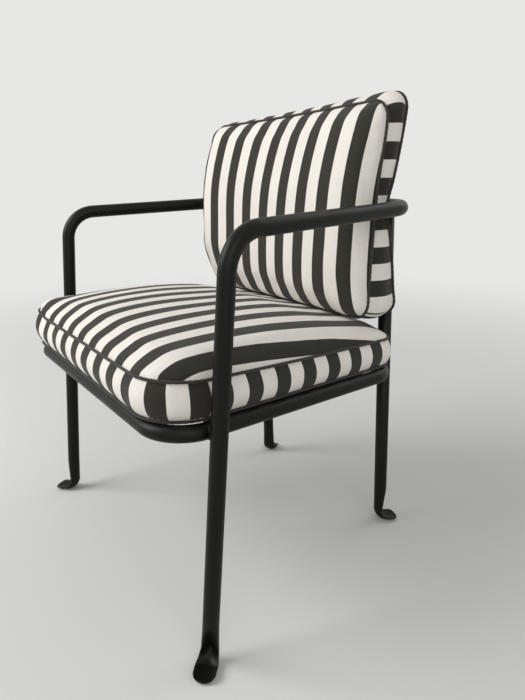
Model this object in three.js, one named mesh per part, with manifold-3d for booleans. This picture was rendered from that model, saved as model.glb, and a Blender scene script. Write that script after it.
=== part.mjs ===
// Patio armchair: a bent round tube frame with a slung seat and two striped boxed cushions.
// Millimetres, +Z up, the chair faces -Y, +X is the sitter's left.
import * as THREE from 'three';
import { mergeVertices } from 'three/addons/utils/BufferGeometryUtils.js';
import Module from 'manifold-3d';

const wasm = await Module();
wasm.setup();

const { Vector2, Vector3 } = THREE;

// Fits and cuts
const fitGap = 0.3;
const cutOverrun = 4;

// Frame tube
const tubeDiameter = 25;
const tubeWall = 2;
const tubeSides = 16;
const boreSides = 12;
const bendSteps = 6;

// Arms and front legs, measured to the tube's centre line from the front legs' line at arm height
const armFrontHeight = 627;
const armRearHeight = 640;
const armFrontHalfSpan = 318;
const armRearHalfSpan = 255;
const armRun = 408;
const frontBendRadius = 58;
const rearCornerRadius = 67;
const frontFootInset = 3.5;
const frontFootAdvance = 56;
const railJointHalfSpan = 110;
const spigotLength = 90;
const spigotWall = 1.5;

// Rear legs
const rearLegHalfSpan = 198;
const rearFootSetback = 17.5;

// Pressed feet: the tube's end is bent out and dished like a spoon
const frontToeTurn = 42;
const rearToeTurn = 34;
const frontToeReach = 27.5;
const rearToeReach = 21;
const pressedHeight = 50;
const heelRadius = 16;
const toeHalfWidth = 17.25;
const toeThickness = 3.6;
const toeDish = 6.5;
const toeTipRise = 2;
const soleFlatDepth = 1;
const footPlugHeight = 12;
const grooveSharpness = 6;
const heelSteps = 5;
const ankleShares = [0.34, 0.67, 1];
const grooveStartShare = 0.75;
const tipShares = [0.94, 0.8, 0.55, 0.25, 0];

// Glides under the toes
const glideDiameter = 15;
const glideHeight = 2;
const glideChamfer = 0.6;
const glideSides = 24;

// Seat ring
const ringFrontHeight = 361;
const ringRearHeight = 346;
const ringOverhang = 91;
const ringRearHalfSpan = 246;
const ringCornerRadius = 60;
const ringJointSlit = 0.6;
const ringSleeveLength = 70;

// Welded spacers between the ring and the legs
const spacerDiameter = 16;
const frontSpacerLength = 3;
const rearSpacerLength = 1;
const spacerSides = 20;

// Slung seat: a mesh panel whose hems slide into two channels inside the ring
const channelWidth = 11;
const channelHeight = 10;
const channelWall = 1.5;
const channelSlot = 2.4;
const channelEndClearance = 12;
const panelThickness = 0.9;
const panelEndInset = 8;
const hemDiameter = 6.2;
const hemSteps = 9;
const hemTailShare = 0.4;
const splineEndInset = 3;
const splineSides = 12;

// Boxed seat cushion
const coverThickness = 1.6;
const pipingDiameter = 4.5;
const pipingSides = 6;
const pipingLift = 1.12;
const pipingLeanShares = [0.6, 0.8];
const seatFrontOverhang = 7;
const seatSideInset = 4;
const seatRearInset = 0;
const seatBorderHeight = 55;
const seatBorderSettle = 9.5;
const seatBorderBulge = 13;
const seatRearBulge = 8;
const seatCrown = 44;
const seatBottomPower = 8;
const seatSagStart = 0.78;
const seatSagRun = 0.4;
const seatFrontCornerRadius = 72;
const seatRearCornerRadius = 32;
const seatCornerSteps = 5;
const seatRunSteps = [5, 4, 5, 5];
const borderShares = [0, 0.22, 0.5, 0.78, 1];
const panelShares = [0.965, 0.87, 0.66, 0.36];
const crownPower = 3;
const crownFullness = 0.5;

// Boxed back cushion, which leans on the rail and is pinched between its corners
const backHalfWidth = 240;
const backFrontHeight = 354;
const backRearHeight = 370;
const backCornerRadius = 30;
const backCornerSteps = 3;
const backSeatGap = 0.5;
const backFrontDepth = 72;
const backPinchDepth = 38;
const backFrontCrown = 45;
const backCrownFullness = 0.4;
const backCrownLeftPower = 6.5;
const backCrownRightPower = 16;
const backCrownLowPower = 4.4;
const backCrownHighPower = 2;
const backRearPower = 4;
const backBorderBulge = 8;
const backPinchBulge = 1.5;
const backPinchReach = 45;
const backMidSetback = 8;
const backFrontSeamShares = [0.97, 0.97, 0.94, 0.9, 0.86, 0.8, 0.7, 0.6, 0.56];
const backRearSeamShares = [0.1, 0.34, 0.5, 0.72, 1, 0.66, 0.36, 0.12, -0.05];
const backRearMidShares = [-0.2, -0.3, -0.3, -0.2, 0.05, -0.7, -1.1, -1, -0.6];
const backRunSteps = [9, 5, 9, 5];

// The back cushion's right end has turned forward on its rail, and droops a little
const backTwistLow = 11.5;
const backTwistHigh = 25;
const backTwistRun = 0.3;
const backTwistPower = 1.5;
const backTwistRearShare = 0.6;
const backTwistSideways = 7.5;
const backFrontDroop = 7;
const backRearDroop = 20;
const backDroopPower = 3;

// Zips in the cushions' borders
const zipLength = 320;
const zipOpening = 9;
const zipCoilWidth = 3.4;
const zipCoilHeight = 0.5;
const zipStopInset = 14;
const backZipShare = 0.7;
const backZipProbeShares = [0.22, 0.5];
const sliderLength = 9;
const sliderWidth = 7;
const sliderThickness = 1.8;
const sliderNoseShare = 0.55;
const archLength = 6.4;
const archWidth = 1.6;
const archHeight = 3;
const archBar = 0.9;
const pullBar = 1;
const pullClearance = 0.4;
const pullLength = 11;
const pullWindowShare = 0.58;
const pullSeatClearance = 1.5;
const pullWidth = 6;
const pullArm = 1.3;

// Finishes
const frameColour = 0x23231f;
const frameRoughness = 0.55;
const frameMetalness = 0.2;
const sleeveColour = 0x8f9294;
const channelColour = 0x2b2b29;
const meshColour = 0x1d1d1c;
const nylonColour = 0x151515;
const fabricColour = 0xe9e2d6;
const pipingColour = 0x3a3531;
const foamColour = 0xe8dfc4;
const zipColour = 0x2a2725;
const sliderColour = 0x6b6b68;
const clothRoughness = 0.9;
const plasticRoughness = 0.5;
const metalRoughness = 0.35;
const plain = 0;
const full = 1;

// Sizes that follow
const tubeRadius = tubeDiameter / 2;
const boreRadius = tubeRadius - tubeWall;
const spigotRadius = boreRadius * Math.cos(Math.PI / boreSides) - fitGap;
const railFace = armRun - tubeRadius;
const up = new Vector3(0, 0, 1);
const half = (value) => value / 2;

// Closed meshes and cuts

function outward(geometry) {
  const position = geometry.getAttribute('position');
  const index = geometry.getIndex();
  const corner = (i) => new Vector3().fromBufferAttribute(position, index.getX(i));
  let volume = 0;
  for (let i = 0; i < index.count; i += 3) {
    volume += corner(i).dot(corner(i + 1).cross(corner(i + 2)));
  }
  if (volume < 0) {
    const turned = Array.from(index.array);
    for (let i = 0; i < turned.length; i += 3) {
      [turned[i], turned[i + 1]] = [turned[i + 1], turned[i]];
    }
    geometry.setIndex(turned);
  }
  return geometry;
}

function closed(geometry) {
  geometry.deleteAttribute('normal');
  geometry.deleteAttribute('uv');
  return outward(mergeVertices(geometry));
}

function solid(geometry) {
  const ready = closed(geometry);
  const vertProperties = new Float32Array(ready.getAttribute('position').array);
  const triVerts = new Uint32Array(ready.getIndex().array);
  return new wasm.Manifold(new wasm.Mesh({ numProp: 3, vertProperties, triVerts }));
}

function fromSolid(manifold) {
  const { vertProperties, triVerts } = manifold.getMesh();
  const geometry = new THREE.BufferGeometry();
  geometry.setAttribute('position', new THREE.BufferAttribute(vertProperties, 3));
  geometry.setIndex(Array.from(triVerts));
  return geometry;
}

function cut(geometry, ...cutters) {
  const body = cutters.reduce((rest, cutter) => rest.subtract(solid(cutter)), solid(geometry));
  return fromSolid(body);
}

function join(...geometries) {
  const [first, ...others] = geometries.map(solid);
  return fromSolid(others.reduce((body, other) => body.add(other), first));
}

// A closed skin over a row of rings with the same number of points, capped at both ends
function loft(rings, startCap = middle(rings[0]), endCap = middle(rings.at(-1))) {
  const sides = rings[0].length;
  const points = [...rings.flat(), startCap, endCap];
  const startIndex = rings.length * sides;
  const lastRing = startIndex - sides;
  const index = [];
  for (let side = 0; side < sides; side += 1) {
    const next = (side + 1) % sides;
    index.push(startIndex, next, side);
    index.push(startIndex + 1, lastRing + side, lastRing + next);
    for (let start = 0; start < lastRing; start += sides) {
      const above = start + sides;
      index.push(start + side, start + next, above + next);
      index.push(start + side, above + next, above + side);
    }
  }
  const geometry = new THREE.BufferGeometry().setFromPoints(points);
  geometry.setIndex(index);
  return outward(geometry);
}

function middle(ring) {
  const sum = ring.reduce((total, point) => total.add(point), new Vector3());
  return sum.divideScalar(ring.length);
}

// The same flat outline at two places, with the ends filled
function bar(shape, place, ends) {
  const outline = THREE.ShapeUtils.isClockWise(shape) ? [...shape].reverse() : shape;
  const [near, far] = ends.map((end) => outline.map((point) => place(point, end)));
  const faces = THREE.ShapeUtils.triangulateShape(outline, []);
  const count = outline.length;
  const index = faces.flatMap(([a, b, c]) => [a, b, c, count + c, count + b, count + a]);
  for (let side = 0; side < count; side += 1) {
    const next = (side + 1) % count;
    index.push(next, side, count + side, next, count + side, count + next);
  }
  const geometry = new THREE.BufferGeometry().setFromPoints([...near, ...far]);
  geometry.setIndex(index);
  return outward(geometry);
}

function box(low, high) {
  const size = high.clone().sub(low);
  const geometry = new THREE.BoxGeometry(size.x, size.y, size.z);
  return geometry.translate(...low.clone().add(high).divideScalar(2));
}

function circle(radius, sides) {
  return Array.from({ length: sides }, (_, side) => {
    const turn = (2 * Math.PI * side) / sides;
    return new Vector2(radius * Math.cos(turn), radius * Math.sin(turn));
  });
}

function rod(from, to, radius, sides) {
  const path = new THREE.LineCurve3(from, to);
  return new THREE.ExtrudeGeometry(new THREE.Shape(circle(radius, sides)), { extrudePath: path, steps: 1 });
}

// Routes of bent tubes

// A path with stations only where the shape needs them
class StationRoute extends THREE.Curve {
  constructor(stations) {
    super();
    this.stations = stations;
  }

  station(share) {
    return this.stations[Math.round(share * this.steps)];
  }

  get steps() {
    return this.stations.length - 1;
  }

  getPoint(share, target = new Vector3()) {
    return target.copy(this.station(share).point);
  }

  getPointAt(share, target) {
    return this.getPoint(share, target);
  }

  getTangentAt(share, target = new Vector3()) {
    return target.copy(this.station(share).tangent);
  }
}

// Straight runs joined by round bends
class BentRoute extends StationRoute {
  constructor(corners, radii) {
    const last = corners.length - 1;
    super(corners.flatMap((corner, i) => {
      if (i > 0 && i < last) {
        return bend(corners[i - 1], corner, corners[i + 1], radii[i]);
      }
      const [from, to] = i === 0 ? corners : corners.slice(-2);
      return [{ point: corner, tangent: to.clone().sub(from).normalize() }];
    }));
  }
}

// A closed path through a ring of points
class LoopRoute extends StationRoute {
  constructor(points) {
    const stations = points.map((point, i) => {
      const next = points[(i + 1) % points.length];
      return { point, tangent: next.clone().sub(points.at(i - 1)).normalize() };
    });
    super([...stations, stations[0]]);
  }
}

function bend(before, corner, after, radius) {
  const inward = corner.clone().sub(before).normalize();
  const outgoing = after.clone().sub(corner).normalize();
  const angle = inward.angleTo(outgoing);
  const side = outgoing.clone().addScaledVector(inward, -outgoing.dot(inward)).normalize();
  const start = corner.clone().addScaledVector(inward, -radius * Math.tan(half(angle)));
  const centre = start.clone().addScaledVector(side, radius);
  return Array.from({ length: bendSteps + 1 }, (_, step) => {
    const turn = (angle * step) / bendSteps;
    const point = centre.clone().addScaledVector(side, -radius * Math.cos(turn));
    point.addScaledVector(inward, radius * Math.sin(turn));
    const tangent = inward.clone().multiplyScalar(Math.cos(turn)).addScaledVector(side, Math.sin(turn));
    return { point, tangent };
  });
}

// Rings across a route, turned along with it from a first pair of level directions
function ringsAlong(stations, radius, side, depth) {
  const across = side.clone();
  const inner = depth.clone();
  let last = up;
  return stations.map(({ point, tangent }) => {
    const turn = new THREE.Quaternion().setFromUnitVectors(last, tangent);
    across.applyQuaternion(turn);
    inner.applyQuaternion(turn);
    last = tangent;
    return circle(radius, tubeSides).map((spot) =>
      point.clone().addScaledVector(across, spot.x).addScaledVector(inner, -spot.y));
  });
}

function tubeAlong(route, outerRadius, innerRadius) {
  const section = new THREE.Shape(circle(outerRadius, tubeSides));
  if (innerRadius > 0) {
    section.holes.push(new THREE.Path(circle(innerRadius, boreSides).reverse()));
  }
  return new THREE.ExtrudeGeometry(section, { extrudePath: route, steps: route.steps });
}

function boreAlong(route, radius) {
  const section = new THREE.Shape(circle(radius, boreSides));
  return new THREE.ExtrudeGeometry(section, { extrudePath: route, steps: route.steps });
}

const mix = (from, to, share) => from + (to - from) * share;
const eased = (share) => THREE.MathUtils.smoothstep(share, 0, 1);
const clamped = (share, low = 0) => THREE.MathUtils.clamp(share, low, 1);

// Legs and feet

const mirrored = (point) => new Vector3(-point.x, point.y, point.z);
const onSide = (point, side) => (side < 0 ? mirrored(point) : point.clone());
const pointBetween = (low, high, height) => low.clone().lerp(high, (height - low.z) / (high.z - low.z));

const frontFoot = new Vector3(armFrontHalfSpan - frontFootInset, -frontFootAdvance, 0);
const armFront = new Vector3(armFrontHalfSpan, 0, armFrontHeight);
const armRear = new Vector3(armRearHalfSpan, armRun, armRearHeight);
const railEnd = new Vector3(railJointHalfSpan, armRun, armRearHeight);
const rearFoot = new Vector3(rearLegHalfSpan, armRun + rearFootSetback, 0);
const rearTop = new Vector3(rearLegHalfSpan, armRun, armRearHeight);

// A foot's leg line, and where its toe points: turned out from straight ahead, or from straight back
function footOf(side, isFront) {
  const line = isFront ? [frontFoot, armFront] : [rearFoot, rearTop];
  const [foot, top] = line.map((point) => onSide(point, side));
  const angle = THREE.MathUtils.degToRad(isFront ? frontToeTurn : rearToeTurn);
  const ahead = isFront ? -1 : 1;
  const toe = new Vector3(side * Math.sin(angle), ahead * Math.cos(angle), 0);
  return { foot, top, toe, reach: isFront ? frontToeReach : rearToeReach };
}

// Sections of the spoon from its tip up to the round tube, across a spine under toe and heel
function footRings({ foot, top, toe, reach: toeReach }) {
  const lean = top.clone().sub(foot).divideScalar(top.z - foot.z);
  const side = new Vector3().crossVectors(up, toe);
  const soleHeight = glideHeight - soleFlatDepth;
  const heelReach = heelRadius - tubeRadius;
  const spine = tipShares.map((share) => {
    const reach = toeReach + toeHalfWidth * share;
    const width = toeHalfWidth * Math.sqrt(1 - share ** 2);
    const height = soleHeight + toeTipRise * share ** 2;
    return { reach, height, width, facing: plain, pressed: full, share };
  });
  for (let step = 0; step <= heelSteps; step += 1) {
    const facing = half(Math.PI) * (step / heelSteps);
    const reach = heelReach - heelRadius * Math.sin(facing);
    const height = soleHeight + heelRadius * (1 - Math.cos(facing));
    spine.push({ reach, height, facing, pressed: 1 - half(step / heelSteps), share: plain });
  }
  const straightFoot = soleHeight + heelRadius;
  for (const share of ankleShares) {
    const height = mix(straightFoot, pressedHeight, share);
    spine.push({ reach: -tubeRadius, height, facing: half(Math.PI), pressed: half(1 - share), share: plain });
  }
  return spine.map((spot) => {
    const ahead = Math.sin(spot.facing);
    const inner = toe.clone().multiplyScalar(ahead).addScaledVector(up, Math.cos(spot.facing));
    const origin = foot.clone().addScaledVector(lean, spot.height).addScaledVector(toe, spot.reach);
    const width = spot.width ?? mix(tubeRadius, toeHalfWidth, spot.pressed ** 2);
    const sag = mix(tubeRadius, toeDish, spot.pressed) * (1 - spot.share ** 2);
    const rim = mix(tubeRadius, 0, eased(spot.pressed));
    const closing = eased(clamped(spot.pressed / grooveStartShare));
    const depthAtMiddle = mix(tubeDiameter, toeThickness, closing);
    const groove = sag + rim - depthAtMiddle;
    const power = mix(grooveSharpness, 1, spot.pressed);
    return circle(1, tubeSides).map((unit) => {
      const across = unit.x * width;
      const share = Math.abs(unit.y);
      const heelSide = sag * (1 - share);
      const toeSide = sag + rim * share - groove * share ** power;
      const depth = unit.y >= 0 ? heelSide : toeSide;
      return origin.clone().addScaledVector(side, across).addScaledVector(inner, depth);
    });
  });
}

function legWithFoot(leg, route) {
  const lean = leg.top.clone().sub(leg.foot).normalize();
  const side = new Vector3().crossVectors(up, leg.toe);
  const start = pointBetween(leg.foot, leg.top, pressedHeight + footPlugHeight);
  const stations = [{ point: start, tangent: lean }, ...route.stations.slice(1)];
  return loft([...footRings(leg), ...ringsAlong(stations, tubeRadius, side, leg.toe)]);
}

function belowSole({ foot, reach: toeReach }) {
  const reach = toeReach + toeHalfWidth + tubeDiameter;
  const low = new Vector3(foot.x - reach, foot.y - reach, -cutOverrun);
  return box(low, new Vector3(foot.x + reach, foot.y + reach, glideHeight));
}

function sideTube(side) {
  const corners = [frontFoot, armFront, armRear, railEnd].map((point) => onSide(point, side));
  const radii = [0, frontBendRadius, rearCornerRadius, 0];
  const leg = footOf(side, true);
  const body = legWithFoot(leg, new BentRoute(corners, radii));
  const bore = [...corners];
  bore[0] = pointBetween(leg.foot, leg.top, pressedHeight + footPlugHeight);
  bore[3] = bore[3].clone().add(new Vector3(-side * cutOverrun, 0, 0));
  return cut(body, boreAlong(new BentRoute(bore, radii), boreRadius), belowSole(leg));
}

function rearLeg(side) {
  const leg = footOf(side, false);
  const { foot, top } = leg;
  const body = legWithFoot(leg, new BentRoute([foot, top], []));
  const lean = top.clone().sub(foot).normalize();
  const bore = rod(
    pointBetween(foot, top, pressedHeight + footPlugHeight),
    top.clone().addScaledVector(lean, cutOverrun),
    boreRadius,
    boreSides,
  );
  return cut(body, bore, belowSole(leg), rearCornerBlank(side));
}

// An arm's rear corner as a plain bar, a fit gap larger, for coping the leg under it
function rearCornerBlank(side) {
  const corners = [armFront, armRear, railEnd].map((point) => onSide(point, side));
  return tubeAlong(new BentRoute(corners, [0, rearCornerRadius, 0]), tubeRadius + fitGap, 0);
}

function backRail() {
  const ends = [1, -1].map((side) => onSide(railEnd, side));
  return tubeAlong(new BentRoute(ends, []), tubeRadius, boreRadius);
}

function railSpigot(side) {
  const reach = half(spigotLength);
  const joint = onSide(railEnd, side);
  const ends = [-reach, reach].map((along) => joint.clone().setX(joint.x + along));
  return tubeAlong(new BentRoute(ends, []), spigotRadius, spigotRadius - spigotWall);
}

function glide({ foot, toe, reach }) {
  const centre = foot.clone().addScaledVector(toe, reach);
  const radius = half(glideDiameter);
  const profile = [
    new Vector2(0, 0),
    new Vector2(radius - glideChamfer, 0),
    new Vector2(radius, glideChamfer),
    new Vector2(radius, glideHeight),
    new Vector2(0, glideHeight),
  ];
  const turned = new THREE.LatheGeometry(profile, glideSides).rotateX(half(Math.PI));
  return turned.translate(centre.x, centre.y, 0);
}

// Seat ring

const rearLegAtRing = pointBetween(rearFoot, rearTop, ringRearHeight);
const ringRear = rearLegAtRing.y - tubeDiameter - rearSpacerLength;
const ringFront = -ringOverhang;
const ringFall = (ringFrontHeight - ringRearHeight) / (ringRear - ringFront);
const ringHeight = (y) => ringFrontHeight - ringFall * (y - ringFront);
const frontLegAtRing = pointBetween(frontFoot, armFront, ringFrontHeight);
const ringAtFrontLeg = frontLegAtRing.x - tubeDiameter - frontSpacerLength;
const ringTaper = (ringAtFrontLeg - ringRearHalfSpan) / (ringRear - frontLegAtRing.y);
const ringHalfSpan = (y) => ringRearHalfSpan + ringTaper * (ringRear - y);
const inRing = (x, y, rise = 0) => new Vector3(x, y, ringHeight(y) + rise);

function ringRoute() {
  const slit = half(ringJointSlit);
  const corners = [
    inRing(slit, ringRear),
    inRing(ringHalfSpan(ringRear), ringRear),
    inRing(ringHalfSpan(ringFront), ringFront),
    inRing(-ringHalfSpan(ringFront), ringFront),
    inRing(-ringHalfSpan(ringRear), ringRear),
    inRing(-slit, ringRear),
  ];
  return new BentRoute(corners, corners.map(() => ringCornerRadius));
}

function ringSleeve() {
  const ends = [1, -1].map((side) => inRing(side * half(ringSleeveLength), ringRear));
  return tubeAlong(new BentRoute(ends, []), spigotRadius, spigotRadius - spigotWall);
}

// A stub between the ring and a leg, shaped to both
function spacer(from, leg) {
  const stub = rod(from, leg.at, half(spacerDiameter), spacerSides);
  const legBlank = rod(leg.foot, leg.top, tubeRadius + fitGap, 2 * tubeSides);
  return cut(stub, tubeAlong(ringRoute(), tubeRadius + fitGap, 0), legBlank);
}

function frontSpacer(side) {
  const [foot, top, at] = [frontFoot, armFront, frontLegAtRing].map((point) => onSide(point, side));
  const ringPoint = inRing(side * ringHalfSpan(at.y), at.y);
  return spacer(ringPoint, { foot, top, at: at.clone().setZ(ringPoint.z) });
}

function rearSpacer(side) {
  const [foot, top, at] = [rearFoot, rearTop, rearLegAtRing].map((point) => onSide(point, side));
  return spacer(inRing(at.x, ringRear), { foot, top, at });
}

// Slung seat

const channelTop = tubeRadius - fitGap;
const channelMiddle = channelTop - half(channelHeight);
const channelEnds = [ringFront, ringRear].map((y, i) =>
  y + (i === 0 ? 1 : -1) * (ringCornerRadius + channelEndClearance));
const hemRadius = half(hemDiameter);
const splineRadius = hemRadius - panelThickness - fitGap;
const channelFace = (y) => ringHalfSpan(y) - tubeRadius - fitGap;
const hemLine = (y) => channelFace(y) - half(channelWidth);
const insetEnds = (inset) => [channelEnds[0] + inset, channelEnds[1] - inset];

function slingChannel(side) {
  const outer = half(channelWidth);
  const inner = outer - channelWall;
  const top = half(channelHeight);
  const roof = top - channelWall;
  const lip = half(channelSlot);
  const upper = [[-outer, lip], [-outer, top], [outer, top]];
  const under = (points) => points.map(([x, z]) => [x, -z]).reverse();
  const ceiling = [[inner, roof], [-inner, roof], [-inner, lip]];
  const spots = [...upper, ...under(upper), ...under(ceiling), ...ceiling];
  const outline = spots.map(([x, z]) => new Vector2(x, z));
  const place = (point, y) => inRing(side * (hemLine(y) + point.x), y, channelMiddle + point.y);
  return bar(outline, place, channelEnds);
}

// One hem curls round its spline and stops short of the panel
function hemOutline() {
  const inner = hemRadius - panelThickness;
  const rise = half(panelThickness);
  const curl = (radius, from, to) => Array.from({ length: hemSteps + 1 }, (_, step) =>
    new Vector2(radius, 0).rotateAround(new Vector2(), mix(from, to, step / hemSteps)));
  const tail = -2 * Math.PI * hemTailShare;
  const outerStart = Math.PI - Math.asin(rise / hemRadius);
  const innerEnd = Math.PI + Math.asin(rise / inner);
  return [...curl(hemRadius, outerStart, tail), ...curl(inner, tail, innerEnd)];
}

function seatSling() {
  const hem = hemOutline();
  const right = hem.map((point) => ({ side: 1, point }));
  const left = [...hem].reverse().map((point) => ({ side: -1, point }));
  const spots = [...right, ...left];
  const ends = insetEnds(panelEndInset);
  const flat = spots.map(({ side, point }) => new Vector2(side * (hemLine(ends[0]) + point.x), point.y));
  const spotOf = new Map(flat.map((point, i) => [point, spots[i]]));
  const place = (point, y) => {
    const { side, point: spot } = spotOf.get(point);
    return inRing(side * (hemLine(y) + spot.x), y, channelMiddle + spot.y);
  };
  return bar(flat, place, ends);
}

function slingSpline(side) {
  const place = (point, y) => inRing(side * (hemLine(y) + point.x), y, channelMiddle + point.y);
  return bar(circle(splineRadius, splineSides), place, insetEnds(splineEndInset));
}

// Cushions: outlines with their outward directions, then rings over bottom, border and top

function cushionOutline(corners, radii, arcSteps, runSteps) {
  const count = corners.length;
  const spots = [];
  corners.forEach((corner, i) => {
    const before = corners[(i + count - 1) % count];
    const after = corners[(i + 1) % count];
    const inward = corner.clone().sub(before).normalize();
    const outgoing = after.clone().sub(corner).normalize();
    const angle = Math.acos(inward.dot(outgoing));
    const radius = radii[i];
    const outwardStart = new Vector2(inward.y, -inward.x);
    const trim = radius * Math.tan(half(angle));
    const centre = corner.clone().addScaledVector(inward, -trim).addScaledVector(outwardStart, -radius);
    for (let step = 0; step <= arcSteps; step += 1) {
      const normal = outwardStart.clone().rotateAround(new Vector2(), (angle * step) / arcSteps);
      spots.push({ point: centre.clone().addScaledVector(normal, radius), normal });
    }
    const runStart = spots.at(-1);
    const afterNext = corners[(i + 2) % count];
    const nextAngle = Math.acos(outgoing.dot(afterNext.clone().sub(after).normalize()));
    const nextTrim = radii[(i + 1) % count] * Math.tan(half(nextAngle));
    const runEnd = after.clone().addScaledVector(outgoing, -nextTrim);
    for (let step = 1; step < runSteps[i]; step += 1) {
      const point = runStart.point.clone().lerp(runEnd, step / runSteps[i]);
      spots.push({ point, normal: runStart.normal });
    }
  });
  return spots;
}

const pipingRadius = half(pipingDiameter);
const pipingStandoff = pipingLift * (pipingRadius + fitGap);
const [pipingOutShare, pipingRiseShare] = pipingLeanShares;
const bulgeAt = (share) => 4 * share * (1 - share);
const crownAt = (share) => (1 - share ** crownPower) ** crownFullness;

// Seat cushion, in the ring's own fall
const seatBottomSeam = tubeRadius + fitGap + pipingRadius + pipingStandoff * pipingRiseShare;
const seatRest = tubeRadius + fitGap;
const seatSag = seatRest - (channelMiddle + half(panelThickness) + fitGap);
const seatDip = (share) =>
  (seatBottomSeam - seatRest) * (1 - share ** seatBottomPower) +
  seatSag * eased(clamped((seatSagStart - share) / seatSagRun));
const seatFront = ringFront - seatFrontOverhang;
const seatRear = ringRear - seatRearInset;
const seatHalfWidth = (y) => ringHalfSpan(y) - seatSideInset;
const seatDepthShare = (y) => clamped((y - seatFront) / (seatRear - seatFront));

// The border is lower toward the rear, where the back cushion stands on the seat
const seatTopSeam = (y) =>
  seatBottomSeam + seatBorderHeight - seatBorderSettle * (1 - (1 - seatDepthShare(y)) ** 2);
const seatBulge = (y) => mix(seatBorderBulge, seatRearBulge, seatDepthShare(y));

function seatOutline() {
  const corner = (side, y) => new Vector2(side * seatHalfWidth(y), y);
  const corners = [corner(1, seatFront), corner(1, seatRear), corner(-1, seatRear), corner(-1, seatFront)];
  const radii = [seatFrontCornerRadius, seatRearCornerRadius, seatRearCornerRadius, seatFrontCornerRadius];
  return cushionOutline(corners, radii, seatCornerSteps, seatRunSteps);
}

const seatCentre = new Vector2(0, half(seatFront + seatRear));

function seatSkin(inset) {
  const outline = seatOutline();
  const at = (point, rise) => inRing(point.x, point.y, rise);
  const low = seatBottomSeam + inset;
  const high = (y) => seatTopSeam(y) - inset;
  const dip = (share) => low - seatDip(share);
  const dome = (share, y) => high(y) + seatCrown * crownAt(share);
  const panelRing = (share, rise) => outline.map(({ point, normal }) => {
    const edge = point.clone().addScaledVector(normal, -inset);
    const spot = seatCentre.clone().lerp(edge, share);
    return at(spot, rise(share, spot.y));
  });
  const bottom = [...panelShares].reverse().map((share) => panelRing(share, dip));
  const border = borderShares.map((share) => outline.map(({ point, normal }) => {
    const out = seatBulge(point.y) * bulgeAt(share) - inset;
    return at(point.clone().addScaledVector(normal, out), mix(low, high(point.y), share));
  }));
  const top = panelShares.map((share) => panelRing(share, dome));
  const caps = [dip(0), dome(0, seatCentre.y)].map((rise) => at(seatCentre, rise));
  return loft([...bottom, ...border, ...top], ...caps);
}

function pipingAround(points) {
  const route = new LoopRoute(points);
  return new THREE.TubeGeometry(route, route.steps, pipingRadius, pipingSides, true);
}

function seatPiping(isTop) {
  const rise = (isTop ? 1 : -1) * pipingStandoff * pipingRiseShare;
  return pipingAround(seatOutline().map(({ point, normal }) => {
    const spot = point.clone().addScaledVector(normal, pipingStandoff * pipingOutShare);
    const seam = isTop ? seatTopSeam(point.y) : seatBottomSeam;
    return inRing(spot.x, spot.y, seam + rise);
  }));
}

// Back cushion: depths are set out from the rail's front face, over the height of the cushion
function along(shares, position) {
  const reach = clamped(position) * (shares.length - 1);
  const start = Math.min(Math.floor(reach), shares.length - 2);
  const [before, from, to, after] = [start - 1, start, start + 1, start + 2].map((i) =>
    shares[THREE.MathUtils.clamp(i, 0, shares.length - 1)]);
  const t = reach - start;
  const pull = half(to - before);
  const push = half(after - from);
  const cubic = 2 * (from - to) + pull + push;
  const square = 3 * (to - from) - 2 * pull - push;
  return ((cubic * t + square) * t + pull) * t + from;
}

const seatSurface = (y) => {
  const share = Math.abs(y - seatCentre.y) / half(seatRear - seatFront);
  return ringHeight(y) + seatTopSeam(y) + seatCrown * crownAt(share);
};
const backFrontFoot = railFace - backFrontDepth * backFrontSeamShares[0];
const backFoot = seatSurface(backFrontFoot) + pipingDiameter + pipingStandoff + backSeatGap;

// The middle of each row of shares is at the rail, which pinches the cushion
const railShare = (armRearHeight - backFoot) / backRearHeight;
const railMiddle = (v) => (v < railShare ? half(v / railShare) : 1 - half((1 - v) / (1 - railShare)));

const backFrontSeam = (v) => railFace - backFrontDepth * along(backFrontSeamShares, railMiddle(v));
const backRearSeam = (v) => railFace - backPinchDepth * along(backRearSeamShares, railMiddle(v));
const backRearMid = (v) => railFace - fitGap - backMidSetback * along(backRearMidShares, railMiddle(v));
const backRearFace = (v, s) => mix(backRearMid(v), backRearSeam(v), s ** backRearPower);

const flipped = (point) => new Vector2(-point.x, point.y);

function backOutline() {
  const low = new Vector2(backHalfWidth, 0);
  const high = new Vector2(backHalfWidth, backFrontHeight);
  const corners = [low, high, flipped(high), flipped(low)];
  return cushionOutline(corners, corners.map(() => backCornerRadius), backCornerSteps, backRunSteps);
}

function pinched(v) {
  const away = ((v - railShare) * backRearHeight) / backPinchReach;
  return mix(backBorderBulge, backPinchBulge, Math.exp(-(away ** 2)));
}

// The crown rises fast from the seams, fastest at the right end
function backCrownAt({ x, y }, inset) {
  const across = Math.abs(x) / (backHalfWidth - inset);
  const level = (y - half(backFrontHeight)) / (half(backFrontHeight) - inset);
  const sidePower = x < 0 ? backCrownRightPower : backCrownLeftPower;
  const endPower = level < 0 ? backCrownLowPower : backCrownHighPower;
  return ((1 - across ** sidePower) * (1 - Math.abs(level) ** endPower)) ** backCrownFullness;
}

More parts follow.
